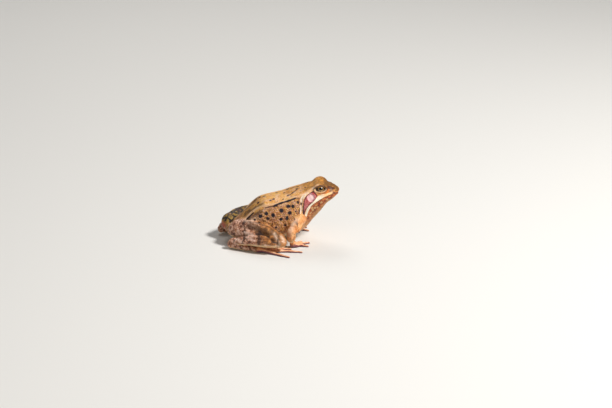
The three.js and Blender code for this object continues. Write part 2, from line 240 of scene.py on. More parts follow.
# The same on the right side of the head and trunk
bodyLines = [
    (
        [
            (58.6, -11.9, 29.5),
            (55.0, -12.9, 26.3),
            (53.2, -13.1, 24.2),
            (52.2, -12.4, 21.6),
            (51.7, -12.0, 19.6),
        ],
        0.5,
        0.85,
    ),
    ([(61.5, -11.2, 30.4), (66.0, -9.4, 32.2), (69.6, -7.0, 33.0)], 0.25, 0.8),
    ([(38.4, -15.8, 23.0), (37.8, -15.8, 19.0), (38.4, -14.8, 15.0)], -0.45, 0.7),
    ([(34.6, -16.0, 17.8), (36.4, -15.4, 13.8), (37.4, -13.6, 10.0)], -0.45, 0.8),
    ([(21.5, -13.8, 20.4), (26.6, -16.2, 18.2), (31.4, -17.0, 14.6)], -0.5, 0.8),
    ([(18.4, -11.6, 20.6), (14.8, -9.4, 17.4), (11.4, -8.0, 14.6)], -0.4, 0.8),
    ([(48.6, -12.4, 21.0), (47.6, -13.8, 25.4), (48.4, -12.0, 30.0)], -0.3, 0.6),
]

# How softly each form runs into what is there already: near its root, elsewhere, and how far the root reaches
blends = {
    "upperArm": (3.6, 0.9, 6.0),
    "forearm": (1.6, 0.7, 3.0),
    "palm": (1.2, 0.8, 3.0),
    "thigh": (4.5, 0.7, 7.0),
    "shank": (1.8, 0.35, 3.2),
    "tarsus": (2.6, 0.4, 3.0),
    "digit": (0.8, 0.8, 3.0),
}

# Fingers and toes: headings in degrees outward from straight ahead, and lengths
hand = {
    "root": (43.6, 16.8),
    "digits": [(-96, 10.0), (-58, 9.6), (-26, 12.2), (10, 10.2)],
    "form": {"root": 1.15, "middle": 0.85, "joint": 1.0, "tip": 0.7, "arch": 1.5},  # radii, and height
}
foot = {
    "root": (17.0, 21.8),
    "digits": [(-30, 10.5), (-13, 16.5), (1, 23.0), (14, 31.0), (38, 25.0)],
    "form": {"root": 1.3, "middle": 0.9, "joint": 1.1, "tip": 0.7, "arch": 1.5},
    "sole": (1.5, 0.6, 1.4, 4.2, 3.0, 1.7),  # offset from the root, height and half sizes
    "soleTurn": 0.4,  # radians
    "soleBlend": 1.4,
    # The skin between the toes. Its reach and the dip of its edge are shares of the toes' length.
    "web": {"thick": 0.6, "height": 0.8, "reach": 0.68, "dip": 0.3, "edge": 0.3, "blend": 0.7},
}

# Spacing of the lattice that the skin is drawn from: finer at the head, the hands and the feet
lattice = {
    "x": [(-6.5, 0.46), (52, 0.46), (57, 0.32), (76.5, 0.32)],
    "y": [(-40.5, 0.43), (40.5, 0.43)],
    "z": [(-0.9, 0.26), (3.2, 0.26), (5, 0.46), (25, 0.46), (29, 0.32), (42, 0.32)],
    "smoothing": 2,  # rounds
    "evenness": 0.6,  # share of the way to its neighbours' mean that a point goes in a round
    "lidRounds": 6,  # how often the margins of the lids are evened out
}


def curveAt(rows, shares):
    # The smooth line through the rows, spaced by the square root of their distances
    rows = np.asarray(rows, float)
    ends = np.vstack([2 * rows[0] - rows[1], rows, 2 * rows[-1] - rows[-2]])
    steps = np.clip(np.asarray(shares, float), 0, 1) * (len(rows) - 1)
    start = np.minimum(steps.astype(int), len(rows) - 2)
    t = (steps - start)[:, None]
    p0, p1, p2, p3 = (ends[start + i] for i in range(4))
    pairs = ((p0, p1), (p1, p2), (p2, p3))
    d0, d1, d2 = (np.linalg.norm(b - a, axis=1, keepdims=True) ** 0.5 for a, b in pairs)
    d1 = np.where(d1 < 1e-4, 1, d1)
    d0 = np.where(d0 < 1e-4, d1, d0)
    d2 = np.where(d2 < 1e-4, d1, d2)
    m1 = ((p1 - p0) / d0 - (p2 - p0) / (d0 + d1) + (p2 - p1) / d1) * d1
    m2 = ((p2 - p1) / d1 - (p3 - p1) / (d1 + d2) + (p3 - p2) / d2) * d1
    return p1 + m1 * t + (3 * (p2 - p1) - 2 * m1 - m2) * t**2 + (2 * (p1 - p2) + m1 + m2) * t**3


def softMin(a, b, blend):
    # The smaller of two distances, rounded off where they are closer than the blend
    near = np.clip(1 - np.abs(a - b) / blend, 0, None)
    return np.minimum(a, b) - near * near * blend / 4


def softMax(a, b, blend):
    return -softMin(-a, -b, blend)


def smoothStep(value, low, high):
    t = np.clip((value - low) / (high - low), 0, 1)
    return t * t * (3 - 2 * t)


def bell(distance, width):
    return np.exp(-((distance / width) ** 2))


def nearestOnLine(points, path):
    # Distance from each point to a row of straight pieces, and how many pieces along it that is
    path = np.asarray(path, float)
    best = np.full(len(points), np.inf)
    reached = np.zeros(len(points))
    for i, (a, b) in enumerate(zip(path[:-1], path[1:])):
        piece = b - a
        t = np.clip((points - a) @ piece / max(piece @ piece, 1e-12), 0, 1)
        gap = ((points - a - t[:, None] * piece) ** 2).sum(1)
        closer = gap < best
        best[closer] = gap[closer]
        reached[closer] = i + t[closer]
    return np.sqrt(best), reached


def lineGap(points, path):
    # Distance alone
    return nearestOnLine(points, path)[0]


def areaDistance(points, corners):
    # Distance to a closed outline in a plane, less than 0 inside
    corners = np.asarray(corners, float)
    loop = np.vstack([corners, corners[:1]])
    distance = lineGap(points, loop)
    inside = np.zeros(len(points), bool)
    for (x0, y0), (x1, y1) in zip(loop[:-1], loop[1:]):
        if y0 == y1:
            continue
        crosses = (points[:, 1] < y0) != (points[:, 1] < y1)
        inside ^= crosses & (points[:, 0] < x0 + (points[:, 1] - y0) * (x1 - x0) / (y1 - y0))
    return np.where(inside, -distance, distance)


def ellipsoidDistance(points, middle, size, turn=0.0):
    # About the distance to a ball of three half sizes, turned about the vertical
    rel = points - np.asarray(middle)
    c, s = math.cos(turn), math.sin(turn)
    rel = np.stack([rel[..., 0] * c + rel[..., 1] * s, rel[..., 1] * c - rel[..., 0] * s, rel[..., 2]], -1)
    reach = np.linalg.norm(rel, axis=-1)
    round_ = np.maximum(np.linalg.norm(rel / np.asarray(size), axis=-1), 1e-4)
    return reach * (1 - 1 / round_)


def mirrored(points, side):
    # As they are with left, and carried across the middle of the frog with right
    return np.array(points, float) * (1, side, 1)


def eyeAxes(side):
    # Outward, level and upward for an eye
    out = mirrored(eye["gaze"], side)
    out /= np.linalg.norm(out)
    level = np.cross(up, out) * side
    level /= np.linalg.norm(level)
    rise = np.cross(out, level) * side
    return out, level, rise * np.sign(rise[2])


def lidPlaces(points, side):
    # Distance to the eyeball, distance to the gap between the lids, less than 0 in it, and height in the eye
    out, level, rise = eyeAxes(side)
    rel = points - mirrored(eye["middle"], side)
    wide, above, below = eye["gap"]
    across, high = rel @ level, rel @ rise
    tall = np.where(high > 0, above, below)
    round_ = np.sqrt(np.abs(across / wide) ** 1.5 + (high / tall) ** 2)
    gap = np.hypot(across, high) * (1 - 1 / np.maximum(round_, 1e-3))
    gap = gap + 3 * np.maximum(0.5 - rel @ out, 0)  # there is no gap at the back of the eye
    return np.linalg.norm(rel, axis=1) - eye["radius"], gap, high


def nostrilDistance(points, side):
    middle = mirrored(nostril["middle"], side)
    return ellipsoidDistance(points, middle, nostril["size"], side * nostril["turn"])


def lidHeight(opened):
    # How high the lids stand over the eyeball, by the distance from their margins
    (edge, edgeWidth), (groove, behind, grooveWidth) = eye["lidEdge"], eye["lidGroove"]
    (foot, rounding), (steep, deep) = eye["lidFoot"], eye["lidInside"]
    thick = eye["lidThickness"] + edge * bell(opened, edgeWidth) - groove * bell(opened - behind, grooveWidth)
    margin = foot + (thick - foot) * np.sin(math.pi / 2 * np.clip(opened / rounding, 0, 1))
    return np.where(opened > 0, margin, np.maximum(foot + steep * opened, -deep))


sections = np.array(trunk["sections"], float)
trunkShares = np.linspace(0, 1, 500)
trunkLine = curveAt(sections[:, [0, 3]], trunkShares)
heights = [sections[:, 1] - sections[:, 3], sections[:, 3] - sections[:, 2]]
trunkSize = curveAt(np.column_stack([sections[:, 4], *heights]), trunkShares)
trunkPower = curveAt(sections[:, 5:7], trunkShares)


def trunkAt(x):
    # Widest line, half width, height above and below it, squareness above and below, at x
    rows = [trunkLine[:, 1], *trunkSize.T, *trunkPower.T]
    return [np.interp(x, trunkLine[:, 0], row) for row in rows]


def trunkDistance(x, y, z):
    held = np.clip(x, trunkLine[0, 0], trunkLine[-1, 0])
    widest, half, above, below, crown, keel = trunkAt(held)
    past = (x - held) / np.where(x < held, trunk["ends"][0], trunk["ends"][1])
    rise = z - widest
    power = np.where(rise > 0, crown, keel)
    high = np.where(rise > 0, above, below)
    section = (np.abs(y) / half) ** power + (np.abs(rise) / high) ** power
    round_ = np.sqrt(section ** (2 / power) + past**2)
    reach = np.sqrt(y**2 + rise**2 + (x - held) ** 2)
    return reach * (1 - 1 / np.maximum(round_, 1e-3))


def flankPoint(x, z, side, sunk=0.0):
    # The place on the side of the trunk at x and z, and the way out of it
    widest, half, above, below, crown, keel = (float(v) for v in trunkAt(x))
    power, high = (crown, above) if z > widest else (keel, below)
    share = max(0.0, 1 - min(1.0, abs(z - widest) / high) ** power)
    y = half * share ** (1 / power)
    outward = np.array([0.0, side * y / half**2, (z - widest) / high**2])
    outward /= np.linalg.norm(outward)
    return np.array([x, side * y, z]) - outward * sunk, outward


def limbFrame(rows, count, above=up):
    # Middles, half sizes and directions at even steps along a limb
    shares = np.linspace(0, 1, count)
    rows = np.asarray(rows, float)
    middles = curveAt(rows[:, :3], shares)
    sizes = curveAt(rows[:, 3:], shares)
    ahead = np.gradient(middles, axis=0)
    ahead /= np.linalg.norm(ahead, axis=1, keepdims=True)
    side = np.cross(above, ahead)
    side /= np.linalg.norm(side, axis=1, keepdims=True)
    out = np.sign((side[:, 1] * middles[:, 1]).sum())
    return {
        "middles": middles,
        "sizes": sizes,
        "ahead": ahead,
        "side": side * out,
        "above": np.cross(ahead, side),
        "length": np.linalg.norm(np.diff(middles, axis=0), axis=1).sum(),
    }


def limbDistance(points, limb):
    # Distance to the limb, the share of its length reached, and the degrees above its outer side
    _, reached = nearestOnLine(points, limb["middles"])
    start = np.minimum(reached.astype(int), len(limb["middles"]) - 2)
    t = (reached - start)[:, None]
    keys = ("middles", "sizes", "ahead", "side", "above")
    middle, size, ahead, side, above = (limb[k][start] * (1 - t) + limb[k][start + 1] * t for k in keys)
    rel = points - middle
    rise = (rel * above).sum(1)
    across = (rel * side).sum(1)
    along = (rel * ahead).sum(1)
    high = np.where(rise > 0, size[:, 1], size[:, 2])
    deep = (size[:, 1] + size[:, 2]) / 2
    round_ = np.sqrt((across / size[:, 0]) ** 2 + (rise / high) ** 2 + (along / deep) ** 2)
    distance = np.linalg.norm(rel, axis=1) * (1 - 1 / np.maximum(round_, 1e-3))
    return distance, reached / (len(limb["middles"]) - 1), np.degrees(np.arctan2(rise, across))


def muscleRelief(name, limb, share, angle):
    # How far muscles raise the limb there, less how far furrows and creases sink it
    relief = 0.0
    for at, start, end, height, width in limbs["muscles"].get(name, []):
        turned = (angle - at + 180) % 360 - 180
        come = smoothStep(share, start - 0.08, start + 0.12)
        go = smoothStep(share, end - 0.12, end + 0.08)
        relief = relief + height * bell(turned, width) * come * (1 - go)
    for at, depth, width in limbs["creases"].get(name, []):
        wander = 0.35 * np.sin(np.radians(2 * angle + 400 * at))
        relief = relief - depth * bell((share - at) * limb["length"] + wander, width)
    return relief


def onSide(rows, side, shift=0.0):
    # A limb's rows on one side, moved along x
    return [(x + shift, y * side, z, *size) for x, y, z, *size in rows]


def digitRows(spec, side, heading, length, shift=0.0):
    # A finger or toe as a limb's rows: two thicker joints, and a tip that rests on the floor
    form, (x, y) = spec["form"], spec["root"]
    angle = math.radians(heading)
    tip, arch = form["tip"], form["arch"]
    stations = [
        (0.06, arch, form["root"]),
        (0.3, arch, form["middle"]),
        (0.45, arch * 0.8, form["joint"]),
        (0.6, form["middle"], form["middle"] * 0.85),
        (0.74, form["middle"] * 0.9, form["joint"] * 0.8),
        (0.9, tip * 0.85, tip * 0.85),
        (1 - tip / length, tip * 0.7, tip),
    ]
    return [
        (x + shift + math.cos(angle) * length * s, side * (y + math.sin(angle) * length * s), z, r, r, r)
        for s, z, r in stations
    ]


def webOutline(lower, upper):
    # The web's outline from above: out along the lower toe, across in a bow, and back along the upper one
    steps = 39
    lines = [curveAt(np.asarray(rows, float)[:, :3], np.linspace(0, 1, steps + 1)) for rows in (lower, upper)]
    lengths = [np.linalg.norm(np.diff(line, axis=0), axis=1).sum() for line in lines]
    mean = sum(lengths) / 2
    spec = foot["web"]

    def onLine(i, distance):
        share = min(distance / lengths[i], 0.92)
        return lines[i][int(round(share * steps))][:2]

    edge = []
    for v in np.linspace(0, 1, 11):
        distance = (spec["reach"] - spec["dip"] * 4 * v * (1 - v)) * mean
        edge.append(onLine(0, distance) * (1 - v) + onLine(1, distance) * v)
    near = [onLine(0, spec["reach"] * mean * s) for s in np.linspace(0, 0.95, 8)]
    far = [onLine(1, spec["reach"] * mean * s) for s in np.linspace(0.95, 0, 8)]
    return np.array([*near, *edge, *far])


def gridLine(stops):
    # Places along one axis, whose spacing changes from stop to stop
    where, step = zip(*stops)
    line = [where[0]]
    while line[-1] < where[-1]:
        line.append(line[-1] + np.interp(line[-1], where, step))
    return np.array(line)


# The skin lies where this field of distances on the lattice is 0.
axes = [gridLine(lattice[k]) for k in "xyz"]
field = np.full([len(a) for a in axes], 60.0)


def latticeBox(low, high, margin=3.0):
    # The part of the lattice between two corners
    return tuple(
        slice(max(0, np.searchsorted(a, lo - margin) - 1), np.searchsorted(a, hi + margin) + 1)
        for a, lo, hi in zip(axes, low, high)
    )


def boxPoints(box):
    mesh = np.meshgrid(*(a[s] for a, s in zip(axes, box)), indexing="ij")
    return np.stack([m.ravel() for m in mesh], 1)


def addForm(box, distance, blend):
    # Joins a form to what the box holds
    shape = field[box].shape
    blend = np.reshape(blend, shape) if np.ndim(blend) else blend
    field[box] = softMin(field[box], distance.reshape(shape), blend)


parts = []  # every limb and digit with its name and frame, for the marks


def addLimb(name, side, rows, count=26, above=up):
    limb = limbFrame(rows, count, above)
    margin = limb["sizes"].max()
    box = latticeBox(limb["middles"].min(0) - margin, limb["middles"].max(0) + margin)
    points = boxPoints(box)
    distance, share, angle = limbDistance(points, limb)
    distance = distance - muscleRelief(name, limb, share, angle)
    near, away, span = blends.get(name, blends["digit"])
    blend = away + (near - away) * bell(np.linalg.norm(points - limb["middles"][0], axis=1), span)
    addForm(box, distance, blend)
    parts.append((name, limb))


def addFold(spec, side):
    count = len(spec["path"])
    rows = []
    for i, (x, z) in enumerate(spec["path"]):
        radius = spec["radius"] * (0.5 if i in (0, count - 1) else 1)
        point, _ = flankPoint(x, z, side, spec["sunk"])
        rows.append((*point, radius, radius, radius))
    limb = limbFrame(rows, 40)
    box = latticeBox(limb["middles"].min(0) - 1, limb["middles"].max(0) + 1)
    addForm(box, limbDistance(boxPoints(box), limb)[0], spec["blend"])
    return limb


gx, gy, gz = axes[0][:, None, None], axes[1][None, :, None], axes[2][None, None, :]
trunkBox = latticeBox((0, -17, -1), (74, 17, 39))
bx, by, bz = gx[trunkBox[0]], gy[:, trunkBox[1]], gz[:, :, trunkBox[2]]
body = trunkDistance(bx, by, bz)
slope = np.sqrt(sum(g**2 for g in np.gradient(body, *(a[s] for a, s in zip(axes, trunkBox)))))
body = body / np.clip(slope, 0.7, 1.6)  # makes it grow as evenly as a true distance does

# Low forms of the trunk, alike on both sides
by = np.abs(by)
spec = trunk["hips"]
hips = smoothStep(bx, *spec["come"]) * (1 - smoothStep(bx, *spec["go"])) * smoothStep(bz, *spec["high"])
for off, height, width in spec["rows"]:
    body = body - height * bell(by - off, width) * hips
spec = trunk["hump"]
(x, long), (y, wide) = spec["x"], spec["y"]
body = body - spec["height"] * bell(by - y, wide) * bell(bx - x, long) * smoothStep(bz, *spec["high"])
for (x, y, z), (long, wide, tall), height, width in trunk["bulges"]:
    gap = np.sqrt(((bx - x) / long) ** 2 + ((by - y) / wide) ** 2 + ((bz - z) / tall) ** 2)
    body = body - height * bell(gap, width)
height, width, reach = trunk["browForm"]
near = np.stack([np.broadcast_to(g, body.shape).ravel() for g in (bx, by, bz)], 1)
gap, reached = nearestOnLine(near, trunk["browRidge"])
body = body - height * (bell(gap, width) * bell(reached - 1, reach)).reshape(body.shape)
field[trunkBox] = np.minimum(field[trunkBox], body)

backFolds = []
for side in (right, left):
    x, y, z, *size = eye["lid"]
    box = latticeBox((x - 5, y * side - 5, z - 5), (x + 5, y * side + 5, z + 5))
    addForm(box, ellipsoidDistance(boxPoints(box), (x, y * side, z), size), eye["bulgeBlend"])
    backFolds.append(addFold(folds["back"], side))
    addFold(folds["ear"], side)
    addLimb("upperArm", side, onSide(limbs["upperArm"], side))
    addLimb("forearm", side, onSide(limbs["forearm"], side), above=forward)
    addLimb("palm", side, onSide(limbs["palm"], side), 16)
    for heading, length in hand["digits"]:
        addLimb("finger", side, digitRows(hand, side, heading, length), 18)
    back = limbs["leftLegBack"] if side == left else 0.0
    addLimb("thigh", side, onSide(limbs["thigh"], side, back))
    addLimb("shank", side, onSide(limbs["shank"], side, back))
    addLimb("tarsus", side, onSide(limbs["tarsus"], side, back), 20)
    x, y = foot["root"][0] + back, foot["root"][1]
    dx, dy, height, *size = foot["sole"]
    box = latticeBox((x - 4, y * side - 5, 0), (x + 7, y * side + 5, 4))
    sole = ellipsoidDistance(boxPoints(box), (x + dx, (y + dy) * side, height), size, side * foot["soleTurn"])
    addForm(box, sole, foot["soleBlend"])
    toes = [digitRows(foot, side, heading, length, back) for heading, length in foot["digits"]]
    for rows in toes:
        addLimb("toe", side, rows, 24)
    web = foot["web"]
    for lower, upper in zip(toes[:-1], toes[1:]):
        outline = webOutline(lower, upper)
        low, high = outline.min(0), outline.max(0)
        box = latticeBox((*low, 0), (*high, 2), 1.5)
        points = boxPoints(box)
        flat = areaDistance(points[:, :2], outline)
        level = np.abs(points[:, 2] - web["height"]) - web["thick"] / 2
        addForm(box, softMax(flat, level, web["edge"]), web["blend"])
print("forms laid on a lattice of", field.shape)

# The head's details are cut and raised in the field.
headBox = latticeBox((47, -14, 8), (75, 14, 41), 0)
points = boxPoints(headBox)
headField = field[headBox].reshape(-1)
mouthCurve = curveAt(mouth["line"], np.linspace(0, 1, 120))
mouthGap = lineGap(points[:, [0, 2]], mouthCurve)
mouthGap = mouthGap * np.sign(points[:, 2] - np.interp(points[:, 0], mouthCurve[:, 0], mouthCurve[:, 1]))
opened = smoothStep(points[:, 0], *mouth["cornerFade"])
depth, width = mouth["groove"]
headField = headField + depth * bell(mouthGap, width) * opened
headField = headField + mouth["inset"] * smoothStep(-mouthGap, 0, 0.5) * opened
height, off, width = mouth["lip"]
headField = headField - height * bell(mouthGap - off, width) * opened
for side in (right, left):
    x, y, z, *size = eye["socket"]
    hollow = ellipsoidDistance(points, (x, y * side, z), size, -side * eye["socketTurn"])
    headField = softMax(headField, -hollow, eye["socketBlend"])
    ball, opened, _ = lidPlaces(points, side)
    lid = ball - lidHeight(np.maximum(opened, eye["lidFoot"][1]))
    marginBlend, headBlend = eye["lidBlends"]
    headField = softMin(headField, softMax(lid, -opened, marginBlend), headBlend)
    share = 1 - smoothStep(opened, 0.25, 0.6)  # near the gap the lids alone make the skin
    headField = headField * (1 - share) + (ball - lidHeight(opened)) * share
    gap = nostrilDistance(points, side)
    height, off, width = nostril["rim"]
    headField = softMax(headField - height * bell(gap - off, width), -gap, nostril["edge"])
    seat, outward = flankPoint(*eardrum["at"], side)
    rel = points - seat
    off = rel @ outward
    ring = np.sqrt(np.maximum((rel**2).sum(1) - off**2, 0))
    radius, close = eardrum["radius"], bell(off, eardrum["thick"])
    height, outside, width = eardrum["rim"]
    headField = headField - height * bell(ring - radius - outside, width) * close
    depth, inside, outside = eardrum["sink"]
    headField = headField + depth * (1 - smoothStep(ring, radius - inside, radius + outside)) * close
    height, width = eardrum["middle"]
    headField = headField - height * bell(ring, width) * close
field[headBox] = headField.reshape(field[headBox].shape)
print("head cut")


def surfaceNet(values, lines):
    # One point in each cell that the surface crosses, and one four-sided face for each edge that it crosses
    inside = values < 0
    cells = np.array(values.shape) - 1
    totals = np.zeros((cells.prod(), 4))
    quads = []
    for axis in range(3):
        low = [slice(None)] * 3
        high = [slice(None)] * 3
        low[axis], high[axis] = slice(0, -1), slice(1, None)
        at = np.stack(np.nonzero(inside[tuple(low)] != inside[tuple(high)]), 1)
        after = at.copy()
        after[:, axis] += 1
        a, b = values[tuple(at.T)], values[tuple(after.T)]
        point = np.stack([line[at[:, i]] for i, line in enumerate(lines)], 1)
        point[:, axis] += a / (a - b) * (lines[axis][after[:, axis]] - lines[axis][at[:, axis]])
        u, v = (axis + 1) % 3, (axis + 2) % 3
        corners = []
        for du, dv in ((0, 0), (-1, 0), (-1, -1), (0, -1)):
            cell = at.copy()
            cell[:, u] += du
            cell[:, v] += dv
            flat = np.ravel_multi_index(tuple(cell.T), tuple(cells))
            corners.append(flat)
            for i in range(3):
                totals[:, i] += np.bincount(flat, point[:, i], len(totals))
            totals[:, 3] += np.bincount(flat, minlength=len(totals))
        quad = np.stack(corners, 1)
        turned = ~inside[tuple(at.T)]
        quad[turned] = quad[turned][:, ::-1]
        quads.append(quad)
    used = np.nonzero(totals[:, 3])[0]
    order = np.zeros(len(totals), int)
    order[used] = np.arange(len(used))
    return totals[used, :3] / totals[used, 3:], order[np.vstack(quads)]


def fieldAt(places):
    # The field at any place, from the eight lattice points round it
    index, share = [], []
    for i, line in enumerate(axes):
        at = np.clip(np.searchsorted(line, places[:, i]) - 1, 0, len(line) - 2)
        index.append(at)
        share.append((places[:, i] - line[at]) / (line[at + 1] - line[at]))
    total = 0
    for corner in range(8):
        bits = [(corner >> i) & 1 for i in range(3)]
        weight = np.prod([s if b else 1 - s for s, b in zip(share, bits)], axis=0)
        total = total + weight * field[tuple(k + b for k, b in zip(index, bits))]
    return total


def fieldSlope(places, step=0.2):
    rises = [fieldAt(places + step * e) - fieldAt(places - step * e) for e in np.eye(3)]
    return np.stack(rises, 1) / (2 * step)


def pulled(places, furthest):
    # The places, moved towards the skin, but no further than this
    slopes = fieldSlope(places)
    gap = fieldAt(places) / np.maximum((slopes**2).sum(1), 0.2)
    return places - slopes * np.clip(gap, -furthest, furthest)[:, None]


def onSurface(path):
    # The path's points, moved onto the skin
    path = curveAt(np.array(path, float), np.linspace(0, 1, 24))
    for _ in range(8):
        path = pulled(path, 0.5)
    return path


# Furrows and ridges along lines, and the floor
furrows = []
for side in (right, left):
    for path, height, width in legLines + bodyLines:
        shift = limbs["leftLegBack"] if side == left and (path, height, width) in legLines else 0.0
        path = onSurface(mirrored(path, -side) + (shift, 0, 0))
        box = latticeBox(path.min(0) - 1, path.max(0) + 1)
        field[box] -= height * bell(lineGap(boxPoints(box), path), width).reshape(field[box].shape)
        if height < -1:  # only the furrow over the knee is so deep
            furrows.append(path)
field = np.maximum(field, -gz)  # flat where it rests on the floor
furrows = [onSurface(path) for path in furrows]


def neighboursMean(places, quads):
    # The mean of the four or so places that each one is joined to
    total = np.zeros((len(places), 4))
    for a, b in ((0, 1), (1, 2), (2, 3), (3, 0)):
        for i, j in ((a, b), (b, a)):
            for k in range(3):
                total[:, k] += np.bincount(quads[:, i], places[quads[:, j], k], len(places))
            total[:, 3] += np.bincount(quads[:, i], minlength=len(places))
    return total[:, :3] / total[:, 3:]


places, quads = surfaceNet(field, axes)
for _ in range(lattice["smoothing"]):
    places = pulled(places + (neighboursMean(places, quads) - places) * lattice["evenness"], 0.3)

# The margins of the lids are evened out, and each point near the gap is set at the lids' height again.
for _ in range(lattice["lidRounds"]):
    mean = neighboursMean(places, quads)
    for side in (right, left):
        middle = mirrored(eye["middle"], side)
        near = np.nonzero(np.linalg.norm(places - middle, axis=1) < eye["radius"] + 1.6)[0]
        some = places[near]
        ball, opened, _ = lidPlaces(some, side)
        even = bell(opened, 0.8) * smoothStep(-ball, -1.4, -0.8)
        some = some + (mean[near] - some) * even[:, None] * lattice["evenness"]
        ball, opened, _ = lidPlaces(some, side)
        lift = lidHeight(opened) - ball
        lift = lift * (1 - smoothStep(opened, 0.12, 0.4)) * (1 - smoothStep(np.abs(lift), 0.3, 0.8))
        out = some - middle
        places[near] = some + out / np.linalg.norm(out, axis=1, keepdims=True) * lift[:, None]
places[:, 2] = np.maximum(places[:, 2], 0)  # hands, feet and belly stay flat on the floor
slopes = fieldSlope(places, 0.3)
normals = slopes / np.maximum(np.linalg.norm(slopes, axis=1, keepdims=True), 1e-6)
print("skin of", len(quads), "faces")

